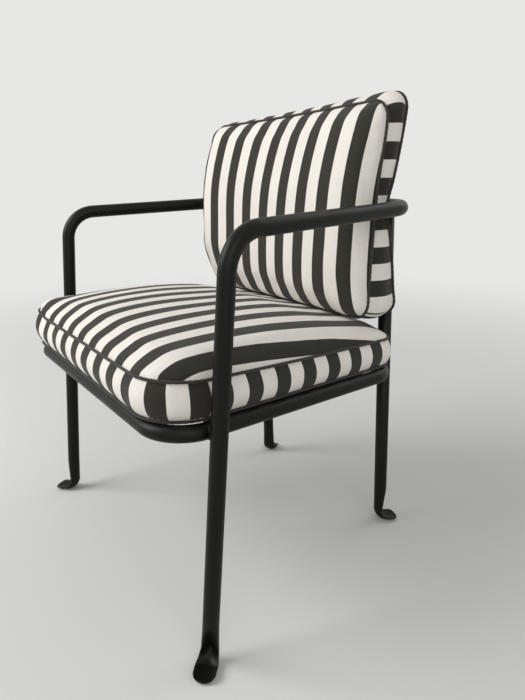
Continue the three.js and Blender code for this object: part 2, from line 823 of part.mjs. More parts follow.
function backSpot(point, depthShare, inset = 0, s = full, crown = plain) {
  const v = point.y / backFrontHeight;
  const height = mix(backRearHeight, backFrontHeight, depthShare);
  const front = backFrontSeam(v) - backFrontCrown * crown + inset;
  const rear = backRearFace(v, s) - inset;
  const rightward = half(1 - clamped(point.x / backHalfWidth, -1));
  const twist = clamped(-point.x / backHalfWidth) ** backTwistPower * eased(clamped(v / backTwistRun));
  const turned = twist * mix(backTwistLow, backTwistHigh, v) * mix(backTwistRearShare, full, depthShare);
  const droop = mix(backRearDroop, backFrontDroop, depthShare) * rightward * clamped(v) ** backDroopPower;
  return new Vector3(
    point.x - backTwistSideways * twist * depthShare,
    mix(rear, front, depthShare) - turned,
    backFoot + v * height - droop,
  );
}

function backSkin(inset) {
  const outline = backOutline();
  const centre = new Vector2(0, half(backFrontHeight));
  const panelRing = (s, depthShare) => outline.map(({ point, normal }) => {
    const edge = point.clone().addScaledVector(normal, -inset);
    const spot = centre.clone().lerp(edge, s);
    return backSpot(spot, depthShare, inset, s, backCrownAt(spot, inset));
  });
  const border = borderShares.map((share) => outline.map(({ point, normal }) => {
    const out = pinched(point.y / backFrontHeight) * bulgeAt(share) - inset;
    return backSpot(point.clone().addScaledVector(normal, out), share, inset);
  }));
  const rear = [...panelShares].reverse().map((s) => panelRing(s, 0));
  const front = panelShares.map((s) => panelRing(s, 1));
  const caps = [0, 1].map((depthShare) => backSpot(centre, depthShare, inset, plain, full));
  return loft([...rear, ...border, ...front], ...caps);
}

function backPiping(isFront) {
  const ahead = isFront ? -1 : 1;
  return pipingAround(backOutline().map(({ point, normal }) => {
    const out = point.clone().addScaledVector(normal, pipingStandoff * pipingOutShare);
    const spot = backSpot(out, isFront ? 1 : 0);
    return spot.add(new Vector3(0, ahead * pipingStandoff * pipingRiseShare, 0));
  }));
}

// Zips: set out along X, with the tape's outward face along `out` and its width along `across`

function seatZipFrame() {
  const share = 0.5;
  const y = seatRear + seatRearBulge * bulgeAt(share);
  const origin = inRing(0, y, mix(seatBottomSeam, seatTopSeam(seatRear), share));
  return { origin, out: new Vector3(0, 1, 0), across: new Vector3(0, 0, 1) };
}

function backZipFrame() {
  const depthShare = 1 - backZipShare;
  const spotAt = (share) => backSpot(new Vector2(0, -pinched(0) * bulgeAt(share)), share);
  const origin = spotAt(depthShare);
  const [rearProbe, frontProbe] = backZipProbeShares.map(spotAt);
  const across = rearProbe.sub(frontProbe).normalize();
  const out = new Vector3(0, across.z, -across.y);
  return { origin, out, across };
}

function zipPlaced(geometry, { origin, out, across }) {
  const basis = new THREE.Matrix4().makeBasis(new Vector3().crossVectors(out, across), out, across);
  return geometry.applyMatrix4(basis.setPosition(origin));
}

const zipFace = -half(coverThickness);
const tapeThickness = half(coverThickness);

function zipSlot(frame) {
  const reach = new Vector3(half(zipLength), cutOverrun, half(zipOpening));
  return zipPlaced(box(reach.clone().negate(), reach), frame);
}

function zipTape(frame) {
  const long = half(zipLength) - fitGap;
  const wide = half(zipOpening) - fitGap;
  const tape = box(new Vector3(-long, zipFace - tapeThickness, -wide), new Vector3(long, zipFace, wide));
  const coil = box(
    new Vector3(-long, zipFace - half(tapeThickness), -half(zipCoilWidth)),
    new Vector3(long, zipFace + zipCoilHeight, half(zipCoilWidth)),
  );
  return zipPlaced(join(tape, coil), frame);
}

const sliderHome = half(zipLength) - zipStopInset;
const sliderBase = zipFace + zipCoilHeight + fitGap;
const sliderTop = sliderBase + sliderThickness;
const archTop = sliderTop + archHeight;
const pullAxis = sliderTop + pullClearance + half(pullBar);

function zipSlider(frame) {
  const nose = sliderNoseShare * sliderWidth;
  const outline = [
    new Vector2(-half(sliderLength), -half(nose)),
    new Vector2(half(sliderLength), -half(sliderWidth)),
    new Vector2(half(sliderLength), half(sliderWidth)),
    new Vector2(-half(sliderLength), half(nose)),
  ];
  const place = (point, height) => new Vector3(sliderHome + point.x, height, point.y);
  const body = bar(outline, place, [sliderBase, sliderTop]);
  const archBox = (long, low, high, wide) => box(
    new Vector3(sliderHome - long, low, -wide),
    new Vector3(sliderHome + long, high, wide),
  );
  const arch = archBox(half(archLength), sliderTop - half(sliderThickness), archTop, half(archWidth));
  const window = archBox(half(archLength) - archBar, sliderTop, archTop - archBar, archWidth);
  return zipPlaced(join(body, cut(arch, window)), frame);
}

// The pull hangs on a bar under the slider's arch and lies along `lie`
function zipPull(frame, lie, length) {
  const wide = half(pullWidth);
  const tilt = new THREE.Matrix4().makeRotationZ(lie === 'flat' ? 0 : half(Math.PI));
  const thick = half(pullBar);
  const bodyBox = box(new Vector3(-thick, -thick, -wide), new Vector3(length, thick, wide));
  const gap = wide - pullArm;
  const windowBox = box(
    new Vector3(thick, -pullBar, -gap),
    new Vector3(length * pullWindowShare, pullBar, gap),
  );
  const tab = cut(bodyBox, windowBox).applyMatrix4(tilt).translate(sliderHome, pullAxis, 0);
  return zipPlaced(tab, frame);
}

// Cushions as sewn: a cover slit for its zip, with a core inside

function cushionCover(skin, frame) {
  return cut(skin(0), skin(coverThickness), zipSlot(frame));
}

const seatZip = seatZipFrame();
const backZip = backZipFrame();
const backPullLength = backZip.origin.z - pullAxis - pullSeatClearance - seatSurface(backZip.origin.y);

// Finishes and pieces

function finish(color, roughness, metalness = plain) {
  return () => new THREE.MeshStandardMaterial({ color, roughness, metalness });
}

const powderCoat = finish(frameColour, frameRoughness, frameMetalness);
const bareSleeve = finish(sleeveColour, metalRoughness, full);
const channelFinish = finish(channelColour, plasticRoughness, frameMetalness);
const slingMesh = finish(meshColour, clothRoughness);
const nylon = finish(nylonColour, plasticRoughness);
const stripedCloth = finish(fabricColour, clothRoughness);
const cord = finish(pipingColour, clothRoughness);
const foam = finish(foamColour, clothRoughness);
const zipTapeFinish = finish(zipColour, clothRoughness);
const sliderFinish = finish(sliderColour, metalRoughness, full);

const chair = new THREE.Group();

function add(name, geometry, material) {
  const mesh = new THREE.Mesh(closed(geometry), material());
  mesh.name = name;
  chair.add(mesh);
}

const sides = { left: 1, right: -1 };

for (const [name, side] of Object.entries(sides)) {
  add(`${name}_side_tube`, sideTube(side), powderCoat);
  add(`${name}_rear_leg`, rearLeg(side), powderCoat);
  add(`${name}_rail_spigot`, railSpigot(side), bareSleeve);
  add(`${name}_front_spacer`, frontSpacer(side), powderCoat);
  add(`${name}_rear_spacer`, rearSpacer(side), powderCoat);
  add(`${name}_front_glide`, glide(footOf(side, true)), nylon);
  add(`${name}_rear_glide`, glide(footOf(side, false)), nylon);
  add(`${name}_sling_channel`, slingChannel(side), channelFinish);
  add(`${name}_sling_spline`, slingSpline(side), nylon);
}

add('back_rail', backRail(), powderCoat);
add('seat_ring', tubeAlong(ringRoute(), tubeRadius, boreRadius), powderCoat);
add('seat_ring_sleeve', ringSleeve(), bareSleeve);
add('seat_sling', seatSling(), slingMesh);

add('seat_cushion_cover', cushionCover(seatSkin, seatZip), stripedCloth);
add('seat_cushion_core', seatSkin(coverThickness + fitGap), foam);
add('seat_top_piping', seatPiping(true), cord);
add('seat_bottom_piping', seatPiping(false), cord);
add('back_cushion_cover', cushionCover(backSkin, backZip), stripedCloth);
add('back_cushion_core', backSkin(coverThickness + fitGap), foam);
add('back_front_piping', backPiping(true), cord);
add('back_rear_piping', backPiping(false), cord);

const zips = [['seat', seatZip, 'flat', pullLength], ['back', backZip, 'hanging', backPullLength]];

for (const [name, frame, lie, length] of zips) {
  add(`${name}_zip_tape`, zipTape(frame), zipTapeFinish);
  add(`${name}_zip_slider`, zipSlider(frame), sliderFinish);
  add(`${name}_zip_pull`, zipPull(frame, lie, length), sliderFinish);
}

// The origin is on the floor, in the middle of the chair's plan
const plan = new THREE.Box3().setFromObject(chair);
chair.position.y = -half(plan.min.y + plan.max.y);

export default chair;
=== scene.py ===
"""Looks of the patio armchair: a bent tube frame, a slung seat and two striped boxed cushions."""

import sys
import logging
import math
from dataclasses import dataclass, field
from enum import Enum
from functools import cached_property
from typing import Sequence

import bpy
import numpy as np
from mathutils import Matrix, Vector


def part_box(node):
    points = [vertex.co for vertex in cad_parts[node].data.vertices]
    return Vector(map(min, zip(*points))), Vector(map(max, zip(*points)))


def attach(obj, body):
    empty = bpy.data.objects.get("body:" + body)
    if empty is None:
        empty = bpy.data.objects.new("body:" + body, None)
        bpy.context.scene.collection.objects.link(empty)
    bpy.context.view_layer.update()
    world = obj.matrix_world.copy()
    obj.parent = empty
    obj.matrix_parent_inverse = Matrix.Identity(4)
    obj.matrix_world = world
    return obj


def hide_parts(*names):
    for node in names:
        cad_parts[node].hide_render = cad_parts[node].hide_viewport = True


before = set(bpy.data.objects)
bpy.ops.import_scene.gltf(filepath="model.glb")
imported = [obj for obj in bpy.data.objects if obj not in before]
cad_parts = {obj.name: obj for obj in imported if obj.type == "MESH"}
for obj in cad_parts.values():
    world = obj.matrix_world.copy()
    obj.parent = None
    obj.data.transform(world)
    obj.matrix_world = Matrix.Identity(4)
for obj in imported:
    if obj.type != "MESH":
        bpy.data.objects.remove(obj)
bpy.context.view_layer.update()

LOG = logging.getLogger("armchair")
MM = 0.001
UP = np.array([0.0, 0.0, 1.0])
Array = np.ndarray
Pair = tuple[float, float]
Colour = tuple[float, float, float]
Place = tuple[float, float, float]
# Clouds per metre, detail and roughness.
Noise = tuple[float, float, float]
Piece = bpy.types.Object
Material = bpy.types.Material
Socket = bpy.types.NodeSocket


class Side(Enum):
    """The sitter's sides, as signs of X."""

    LEFT = 1
    RIGHT = -1

    @property
    def word(self) -> str:
        """How the side is called in names of pieces."""
        return self.name.lower()


class FootPlace(Enum):
    """Which end of the chair a foot is at."""

    FRONT = "front"
    REAR = "rear"


class Face(Enum):
    """The parts of a boxed cushion's cover."""

    OUTER = "outer"
    INNER = "inner"


def mix(start: float | Array, end: float | Array, share: float | Array) -> float | Array:
    """Value a share of the way from start to end."""
    return start + (end - start) * share


def eased(share: float | Array) -> float | Array:
    """Share from 0 to 1 with soft ends."""
    held = np.clip(share, 0, 1)
    return held * held * (3 - 2 * held)


def unit(vector: Array) -> Array:
    """Vectors scaled to length one along the last axis."""
    return vector / np.maximum(np.linalg.norm(vector, axis=-1, keepdims=True), 1e-12)


def around(count: int) -> Array:
    """Angles of points set out evenly round a circle."""
    return 2 * math.pi * np.arange(count) / count


def walked(points: Array) -> Array:
    """Distance of each point from the first, along the line through all of them."""
    return np.concatenate([[0.0], np.cumsum(np.linalg.norm(np.diff(points, axis=0), axis=1))])


# Meshes


def make_mesh(name: str, points: Array, faces: Sequence[Sequence[int]]) -> Piece:
    """Makes a smooth mesh piece in the scene.

    Args:
        name: The piece's name.
        points: Corners in millimetres, one row each.
        faces: Corner numbers of each face.

    Returns:
        The new object.
    """
    mesh = bpy.data.meshes.new(name)
    mesh.from_pydata((np.asarray(points) * MM).tolist(), [], [list(map(int, f)) for f in faces])
    mesh.update()
    mesh.polygons.foreach_set("use_smooth", [True] * len(mesh.polygons))
    piece = bpy.data.objects.new(name, mesh)
    bpy.context.scene.collection.objects.link(piece)
    return piece


def write_uv(piece: Piece, values: Array) -> None:
    """Stores a map of the cloth or cord, in metres, one pair per face corner."""
    layer = piece.data.uv_layers.new(name="Cloth")
    layer.data.foreach_set("uv", np.asarray(values, dtype=np.float32).ravel())


def ring_faces(rings: int, sides: int, closed: bool) -> list[tuple[int, int, int, int]]:
    """Faces between rings of points.

    Args:
        rings: Number of rings.
        sides: Points in each ring.
        closed: Whether the last ring joins the first.

    Returns:
        Quads as corner numbers.
    """
    faces = []
    for ring in range(rings if closed else rings - 1):
        low, high = ring * sides, (ring + 1) % rings * sides
        for side in range(sides):
            ahead = (side + 1) % sides
            faces.append((low + side, low + ahead, high + ahead, high + side))
    return faces


def grid_faces(rows: int, columns: int) -> Array:
    """Faces between the points of a grid.

    Args:
        rows: Lines of points.
        columns: Points in each line.

    Returns:
        Quads as corner numbers, one row each.
    """
    number = np.arange(rows * columns).reshape(rows, columns)
    corners = (number[:-1, :-1], number[1:, :-1], number[1:, 1:], number[:-1, 1:])
    return np.stack(corners, -1).reshape(-1, 4)


def loft(name: str, rings: Array, closed: bool = False) -> Piece:
    """Makes a piece from rings of points, its ends filled where it is open.

    Args:
        name: The piece's name.
        rings: Points as rings x sides x 3, in millimetres.
        closed: Whether the last ring joins the first.

    Returns:
        The new object.
    """
    count, sides = rings.shape[:2]
    points = rings.reshape(-1, 3)
    faces: list[tuple[int, ...]] = list(ring_faces(count, sides, closed))
    if not closed:
        points = np.vstack([points, rings[0].mean(0), rings[-1].mean(0)])
        low, high, last = count * sides, count * sides + 1, (count - 1) * sides
        for side in range(sides):
            ahead = (side + 1) % sides
            faces.append((low, ahead, side))
            faces.append((high, last + side, last + ahead))
    piece = make_mesh(name, points, faces)
    turn_outward(piece)
    return piece


def turn_outward(piece: Piece) -> None:
    """Flips a closed piece whose faces look inward.

    Args:
        piece: The piece.
    """
    mesh = piece.data
    mesh.calc_loop_triangles()
    corners = np.array([v.co[:] for v in mesh.vertices])
    triangles = np.array([t.vertices[:] for t in mesh.loop_triangles])
    a, b, c = (corners[triangles[:, k]] for k in range(3))
    if np.einsum("ij,ij->i", a, np.cross(b, c)).sum() < 0:
        mesh.flip_normals()


# Routes of tubes and cords


@dataclass(frozen=True)
class Route:
    """A line of places with their directions, in millimetres."""

    points: Array
    tangents: Array

    @classmethod
    def bent(
        cls, corners: Sequence[Array], radii: Sequence[float], closed: bool = False, steps: int = 20
    ) -> "Route":
        """Lays straight runs joined by round bends.

        Args:
            corners: Where the straight runs would meet.
            radii: Bend radius at each corner.
            closed: Whether the last corner runs on to the first.
            steps: Places along each bend.

        Returns:
            The route.
        """
        count = len(corners)
        points: list[Array] = []
        tangents: list[Array] = []
        for i, corner in enumerate(corners):
            before, after = corners[i - 1], corners[(i + 1) % count]
            if not closed and i in (0, count - 1):
                heading = unit(after - corner) if i == 0 else unit(corner - before)
                points.append(corner)
                tangents.append(heading)
                continue
            inward, outgoing = unit(corner - before), unit(after - corner)
            angle = math.acos(float(np.clip(inward @ outgoing, -1, 1)))
            side = unit(outgoing - inward * (outgoing @ inward))
            start = corner - inward * radii[i] * math.tan(angle / 2)
            centre = start + side * radii[i]
            for step in range(steps + 1):
                turn = angle * step / steps
                points.append(
                    centre - side * radii[i] * math.cos(turn) + inward * radii[i] * math.sin(turn)
                )
                tangents.append(inward * math.cos(turn) + side * math.sin(turn))
        return cls(np.array(points), np.array(tangents))

    @classmethod
    def loop(cls, points: Array) -> "Route":
        """Closed route through the given places."""
        return cls(points, unit(np.roll(points, -1, 0) - np.roll(points, 1, 0)))

    def frames(self, across: Array) -> tuple[Array, Array]:
        """Carries two cross directions along the route without twist.

        Args:
            across: A direction to start from.

        Returns:
            The two directions at each place.
        """
        first = unit(across - self.tangents[0] * (across @ self.tangents[0]))
        sides = [first]
        for i in range(1, len(self.points)):
            now = self.tangents[i]
            both = self.tangents[i - 1] + now
            turned = sides[-1] - both * (2 * (sides[-1] @ now) / max(float(both @ both), 1e-9))
            sides.append(unit(turned - now * (turned @ now)))
        side = np.array(sides)
        return side, np.cross(self.tangents, side)


def tube_rings(route: Route, radius: float | Array, sides: int, across: Array) -> Array:
    """Round sections along a route.

    Args:
        route: The tube's centre line.
        radius: One radius, or one for each place.
        sides: Points in each section.
        across: Direction of the first point at the start.

    Returns:
        Points as places x sides x 3.
    """
    side, depth = route.frames(across)
    turn = around(sides)
    reach = np.broadcast_to(np.asarray(radius, dtype=float), (len(route.points),))[:, None, None]
    spokes = np.cos(turn)[None, :, None] * side[:, None] + np.sin(turn)[None, :, None] * depth[:, None]
    return route.points[:, None] + reach * spokes


# Finishes


class Nodes:
    """A node tree under construction, with short ways to add what this scene needs."""

    def __init__(self, tree: bpy.types.NodeTree) -> None:
        """Empties the tree."""
        self.tree = tree
        tree.nodes.clear()

    def node(self, kind: str, **settings: object) -> bpy.types.Node:
        """Adds a node.

        Args:
            kind: Its kind, without the words all kinds start with.
            settings: Values of its own properties.

        Returns:
            The node.
        """
        node = self.tree.nodes.new("ShaderNode" + kind)
        for name, value in settings.items():
            setattr(node, name, value)
        return node

    def feed(self, socket: Socket, value: object) -> None:
        """Fills an input.

        Args:
            socket: The input.
            value: An output to link it to, a plain value, or None to leave it.
        """
        if isinstance(value, Socket):
            self.tree.links.new(value, socket)
        elif value is not None:
            socket.default_value = value

    def math(self, kind: str, first: object, second: object = None) -> Socket:
        """Does a sum.

        Args:
            kind: Which sum.
            first: The first value.
            second: The second value, if the sum has one.

        Returns:
            The result.
        """
        node = self.node("Math", operation=kind)
        self.feed(node.inputs[0], first)
        self.feed(node.inputs[1], second)
        return node.outputs[0]

    def on_show(self) -> Socket:
        """Tells what is seen, also in gloss and through glass, from what only gives light.

        Returns:
            1 for what is seen, else 0.
        """
        path = self.node("LightPath")
        seen = path.outputs["Is Camera Ray"]
        for name in ("Is Glossy Ray", "Is Transmission Ray"):
            seen = self.math("MAXIMUM", seen, path.outputs[name])
        return seen


class Recipe(Nodes):
    """A material under construction."""

    usual: Pair = (0.3, 0.7)

    def __init__(self, name: str) -> None:
        """Starts a material with one shader.

        Args:
            name: The material's name.
        """
        self.material = bpy.data.materials.new(name)
        self.material.use_nodes = True
        super().__init__(self.material.node_tree)
        self.shader = self.node("BsdfPrincipled")
        self.output = self.node("OutputMaterial")
        self.feed(self.output.inputs["Surface"], self.shader.outputs["BSDF"])

    def set(self, **values: float | tuple) -> "Recipe":
        """Sets plain values on the shader.

        Args:
            values: A value for each input, its name written with underscores.

        Returns:
            The recipe itself.
        """
        for name, value in values.items():
            self.shader.inputs[name.replace("_", " ")].default_value = value
        return self

    def place(self) -> Socket:
        """Position on the object itself, in metres."""
        return self.node("TexCoord").outputs["Object"]

    def cloth_map(self) -> tuple[Socket, Socket]:
        """Reads the map of the cloth or cord.

        Returns:
            Metres across and along it.
        """
        maps = self.node("UVMap", uv_map="Cloth")
        parts = self.node("SeparateXYZ")
        self.feed(parts.inputs[0], maps.outputs[0])
        return parts.outputs[0], parts.outputs[1]

    def noise(self, scale: float, detail: float = 2.0, roughness: float = 0.5) -> Socket:
        """Adds cloudy noise.

        Args:
            scale: Clouds per metre.
            detail: How many finer layers it has.
            roughness: How strong these are.

        Returns:
            A value from about 0 to 1.
        """
        node = self.node("TexNoise")
        self.feed(node.inputs["Vector"], self.place())
        for name, value in (("Scale", scale), ("Detail", detail), ("Roughness", roughness)):
            node.inputs[name].default_value = value
        return node.outputs["Fac"]

    def weave(self, thread: float) -> Socket:
        """Crosses warp and weft.

        Args:
            thread: Length of one wave over and under, in metres.

        Returns:
            Height from -1 to 1.
        """
        ways = (self.math("MULTIPLY", way, 2 * math.pi / thread) for way in self.cloth_map())
        warp, weft = (self.math("SINE", way) for way in ways)
        return self.math("MULTIPLY", warp, weft)

    def away(self) -> Socket:
        """Measures how far out on the object a place is.

        Returns:
            Distance from the object's own middle, in metres.
        """
        node = self.node("VectorMath", operation="LENGTH")
        self.feed(node.inputs[0], self.place())
        return node.outputs["Value"]

    def span(
        self, value: object, low: float, high: float, to_low: float, to_high: float, soft: bool = False
    ) -> Socket:
        """Value carried from one range to another, held at its ends.

        Args:
            value: The value.
            low: Start of its range.
            high: End of its range.
            to_low: What the start becomes.
            to_high: What the end becomes.
            soft: Whether it starts and ends gently.

        Returns:
            The new value.
        """
        node = self.node("MapRange", interpolation_type="SMOOTHSTEP" if soft else "LINEAR")
        self.feed(node.inputs["Value"], value)
        names = ("From Min", "From Max", "To Min", "To Max")
        for name, number in zip(names, (low, high, to_low, to_high)):
            node.inputs[name].default_value = number
        return node.outputs["Result"]

    def spread(self, noise: Socket, low: float, high: float) -> Socket:
        """Noise carried to a range from where most of its values lie."""
        return self.span(noise, *self.usual, low, high)

    def blend(self, share: object, first: object, second: object) -> Socket:
        """Mixes two colours.

        Args:
            share: How far to go from the first to the second.
            first: A colour.
            second: Another colour.

        Returns:
            The mixed colour.
        """
        node = self.node("Mix", data_type="RGBA")
        self.feed(node.inputs[0], share)
        for socket, colour in ((node.inputs[6], first), (node.inputs[7], second)):
            self.feed(socket, (*colour, 1.0) if isinstance(colour, tuple) else colour)
        return node.outputs[2]

    def shade(self, colour: object, light: object) -> Socket:
        """Makes a colour lighter or darker.

        Args:
            colour: The colour.
            light: A value around 1.

        Returns:
            The new colour.
        """
        node = self.node("VectorMath", operation="SCALE")
        self.feed(node.inputs[0], colour)
        self.feed(node.inputs["Scale"], light)
        return node.outputs[0]

    def bump(self, height: object, depth: float, strength: float, under: object = None) -> Socket:
        """Makes relief.

        Args:
            height: Height value.
            depth: How deep a step of 1 is, in metres.
            strength: Share of the relief that shows.
            under: Coarser relief which this one lies on.

        Returns:
            The relief.
        """
        node = self.node("Bump")
        node.inputs["Strength"].default_value = strength
        node.inputs["Distance"].default_value = depth
        self.feed(node.inputs["Height"], height)
        self.feed(node.inputs["Normal"], under)
        return node.outputs[0]

    def fade(self, share: object, colour: Colour) -> None:
        """Lets the surface go over into an evenly bright colour.

        Args:
            share: How far it has gone over.
            colour: The colour.
        """
        glow = self.node("Emission")
        glow.inputs["Color"].default_value = (*colour, 1.0)
        both = self.node("MixShader")
        for socket, value in zip(both.inputs, (share, self.shader.outputs["BSDF"], glow.outputs[0])):
            self.feed(socket, value)
        self.feed(self.output.inputs["Surface"], both.outputs[0])

    def finish(self, colour: object, roughness: object, normal: object) -> Material:
        """Joins the last values to the shader.

        Args:
            colour: Colour.
            roughness: Roughness.
            normal: Relief, or None.

        Returns:
            The material.
        """
        self.feed(self.shader.inputs["Base Color"], colour)
        self.feed(self.shader.inputs["Roughness"], roughness)
        self.feed(self.shader.inputs["Normal"], normal)
        return self.material


@dataclass(frozen=True)
class PowderCoat:
    """Matt, finely textured paint baked on the tubes."""

    name: str = "frame_paint"
    base: Colour = (0.0032, 0.0033, 0.0027)
    worn: Colour = (0.0058, 0.0059, 0.0050)
    gloss: float = 0.18
    roughness: Pair = (0.33, 0.42)
    wear_range: Pair = (0.35, 0.75)
    most_wear: float = 0.6
    cloud: Noise = (9.0, 4.0, 0.6)
    grain: Noise = (1500.0, 2.0, 0.6)
    grain_roughness: float = 0.05
    grain_depth: float = 0.00006
    relief: float = 0.5

    def make(self) -> Material:
        """Mixes the paint.

        Returns:
            Its material.
        """
        recipe = Recipe(self.name).set(Metallic=0.0, Specular_IOR_Level=self.gloss)
        grain, cloud = recipe.noise(*self.grain), recipe.noise(*self.cloud)
        wear = recipe.span(cloud, *self.wear_range, 0.0, self.most_wear)
        colour = recipe.blend(wear, self.base, self.worn)
        broad, fine = recipe.spread(cloud, *self.roughness), recipe.spread(grain, 0.0, self.grain_roughness)
        relief = recipe.bump(grain, self.grain_depth, self.relief)
        return recipe.finish(colour, recipe.math("ADD", broad, fine), relief)


@dataclass(frozen=True)
class GrainedSurface:
    """A plain hard surface with a fine grain."""

    name: str
    base: Colour
    metallic: float
    roughness: Pair
    shades: Pair
    grain: Noise
    grain_depth: float
    relief: float

    def make(self) -> Material:
        """Makes the surface.

        Returns:
            Its material.
        """
        recipe = Recipe(self.name).set(Metallic=self.metallic)
        grain = recipe.noise(*self.grain)
        colour = recipe.shade(self.base, recipe.spread(grain, *self.shades))
        roughness = recipe.spread(grain, *self.roughness)
        return recipe.finish(colour, roughness, recipe.bump(grain, self.grain_depth, self.relief))


@dataclass(frozen=True)
class BareMetal(GrainedSurface):
    """Plain drawn or cast metal."""

    metallic: float = 1.0
    roughness: Pair = (0.28, 0.45)
    shades: Pair = (0.85, 1.1)
    grain: Noise = (900.0, 3.0, 0.7)
    grain_depth: float = 0.00003
    relief: float = 0.4


@dataclass(frozen=True)
class Plastic(GrainedSurface):
    """Moulded nylon with a fine spark-eroded grain."""

    metallic: float = 0.0
    roughness: Pair = (0.45, 0.58)
    shades: Pair = (0.9, 1.12)
    grain: Noise = (1200.0, 2.0, 0.5)
    grain_depth: float = 0.00004
    relief: float = 0.5


@dataclass(frozen=True)
class StripedCloth:
    """Plain-woven outdoor cloth in even stripes of warm white and charcoal."""

    name: str = "striped_cloth"
    pale: Colour = (0.83, 0.785, 0.725)
    dark: Colour = (0.0315, 0.0275, 0.0215)
    sheen: float = 0.12
    sheen_roughness: float = 0.5
    gloss: float = 0.2
    roughness: Pair = (0.84, 0.95)
    stripe: float = 0.028
    stripe_edge: float = 0.006
    wobble: float = 0.00016
    wobble_scale: float = 900.0
    thread: float = 0.00065
    thread_depth: float = 0.00010
    thread_relief: float = 0.6
    # Painted shade of the weave: colour at its hollows and at its crests.
    thread_hollow_shading: Pair = (0.93, 1.04)
    slub: Noise = (420.0, 3.0, 0.7)
    slub_shades: Pair = (0.94, 1.05)
    cloud: Noise = (14.0, 3.0, 0.6)
    cloud_shades: Pair = (0.965, 1.03)
    crease: Noise = (60.0, 3.0, 0.55)
    crease_depth: float = 0.0012
    crease_relief: float = 0.22

    def make(self) -> Material:
        """Weaves the cloth.

        Returns:
            Its material.
        """
        recipe = Recipe(self.name).set(
            Sheen_Weight=self.sheen, Sheen_Roughness=self.sheen_roughness, Specular_IOR_Level=self.gloss
        )
        across, _ = recipe.cloth_map()
        wobble = recipe.spread(recipe.noise(self.wobble_scale, 1.0), -self.wobble, self.wobble)
        turns = recipe.math("DIVIDE", recipe.math("ADD", across, wobble), 2 * self.stripe)
        saw = recipe.math("ABSOLUTE", recipe.math("SUBTRACT", recipe.math("FRACT", turns), 0.5))
        share = recipe.span(saw, 0.25 - self.stripe_edge, 0.25 + self.stripe_edge, 0.0, 1.0)
        weave = recipe.weave(self.thread)
        slub, cloud = recipe.noise(*self.slub), recipe.noise(*self.cloud)
        colour = recipe.blend(share, self.pale, self.dark)
        uneven, patchy = recipe.spread(slub, *self.slub_shades), recipe.spread(cloud, *self.cloud_shades)
        light = recipe.math("MULTIPLY", uneven, patchy)
        # Colour painted darker in the weave's hollows and lighter on its crests: painted shade between the
        # threads.
        light = recipe.math("MULTIPLY", light, recipe.span(weave, -1.0, 1.0, *self.thread_hollow_shading))
        roughness = recipe.spread(slub, *self.roughness)
        threads = recipe.bump(weave, self.thread_depth, self.thread_relief)
        creases = recipe.bump(recipe.noise(*self.crease), self.crease_depth, self.crease_relief, threads)
        return recipe.finish(recipe.shade(colour, light), roughness, creases)


@dataclass(frozen=True)
class TwistedCord:
    """Dark cord of twisted strands, sewn in as piping."""

    name: str = "piping_cord"
    base: Colour = (0.030, 0.025, 0.022)
    # Colour reached on the strands' crests where the fuzz is high: a painted highlight.
    light: Colour = (0.075, 0.064, 0.056)
    sheen: float = 0.15
    gloss: float = 0.2
    roughness: Pair = (0.8, 0.95)
    fibre_step: float = 0.0012
    fibres_round: float = 9.0
    strand_shading_shares: Pair = (0.1, 0.9)
    fibre_depth: float = 0.00012
    relief: float = 0.5
    fuzz: Noise = (1400.0, 2.0, 0.6)

    def make(self) -> Material:
        """Twists the cord.

        Returns:
            Its material.
        """
        recipe = Recipe(self.name).set(Sheen_Weight=self.sheen, Specular_IOR_Level=self.gloss)
        around_it, along = recipe.cloth_map()
        forward = recipe.math("MULTIPLY", along, 1 / self.fibre_step)
        strands = recipe.math("ADD", forward, recipe.math("MULTIPLY", around_it, self.fibres_round))
        fibre = recipe.math("SINE", recipe.math("MULTIPLY", strands, 2 * math.pi))
        fuzz = recipe.noise(*self.fuzz)
        # Colour painted lighter on the strands' crests and darker in the grooves between them: painted shade,
        # broken up by random fuzz in tone.
        share = recipe.math("MULTIPLY", recipe.span(fibre, -1.0, 1.0, *self.strand_shading_shares), fuzz)
        colour = recipe.blend(share, self.base, self.light)
        roughness = recipe.spread(fuzz, *self.roughness)
        return recipe.finish(colour, roughness, recipe.bump(fibre, self.fibre_depth, self.relief))


@dataclass(frozen=True)
class OpenMesh:
    """Coated yarn woven into an open sling fabric."""

    name: str = "sling_mesh"
    base: Colour = (0.020, 0.020, 0.019)
    shine: Colour = (0.050, 0.050, 0.047)
    gloss: float = 0.4
    roughness: Pair = (0.7, 0.45)
    yarn: float = 0.0021
    full_shine: float = 0.8
    yarn_depth: float = 0.0004
    relief: float = 0.9

    def make(self) -> Material:
        """Weaves the mesh.

        Returns:
            Its material.
        """
        recipe = Recipe(self.name).set(Specular_IOR_Level=self.gloss)
        height = recipe.math("ABSOLUTE", recipe.weave(self.yarn))
        colour = recipe.blend(recipe.span(height, 0.0, self.full_shine, 0.0, 1.0), self.base, self.shine)
        roughness = recipe.span(height, 0.0, 1.0, *self.roughness)
        return recipe.finish(colour, roughness, recipe.bump(height, self.yarn_depth, self.relief))


@dataclass(frozen=True)
class WovenTape:
    """Close herringbone tape of a zip."""

    name: str = "zip_tape"
    base: Colour = (0.018, 0.016, 0.015)
    light: Colour = (0.045, 0.040, 0.037)
    gloss: float = 0.25
    roughness: Pair = (0.7, 0.9)
    grain: Noise = (2600.0, 2.0, 0.6)
    grain_range: Pair = (0.35, 0.65)
    grain_depth: float = 0.0001
    relief: float = 0.5

    def make(self) -> Material:
        """Weaves the tape.

        Returns:
            Its material.
        """
        recipe = Recipe(self.name).set(Specular_IOR_Level=self.gloss)
        grain = recipe.noise(*self.grain)
        colour = recipe.blend(recipe.span(grain, *self.grain_range, 0.0, 1.0), self.base, self.light)
        roughness = recipe.spread(grain, *self.roughness)
        return recipe.finish(colour, roughness, recipe.bump(grain, self.grain_depth, self.relief))


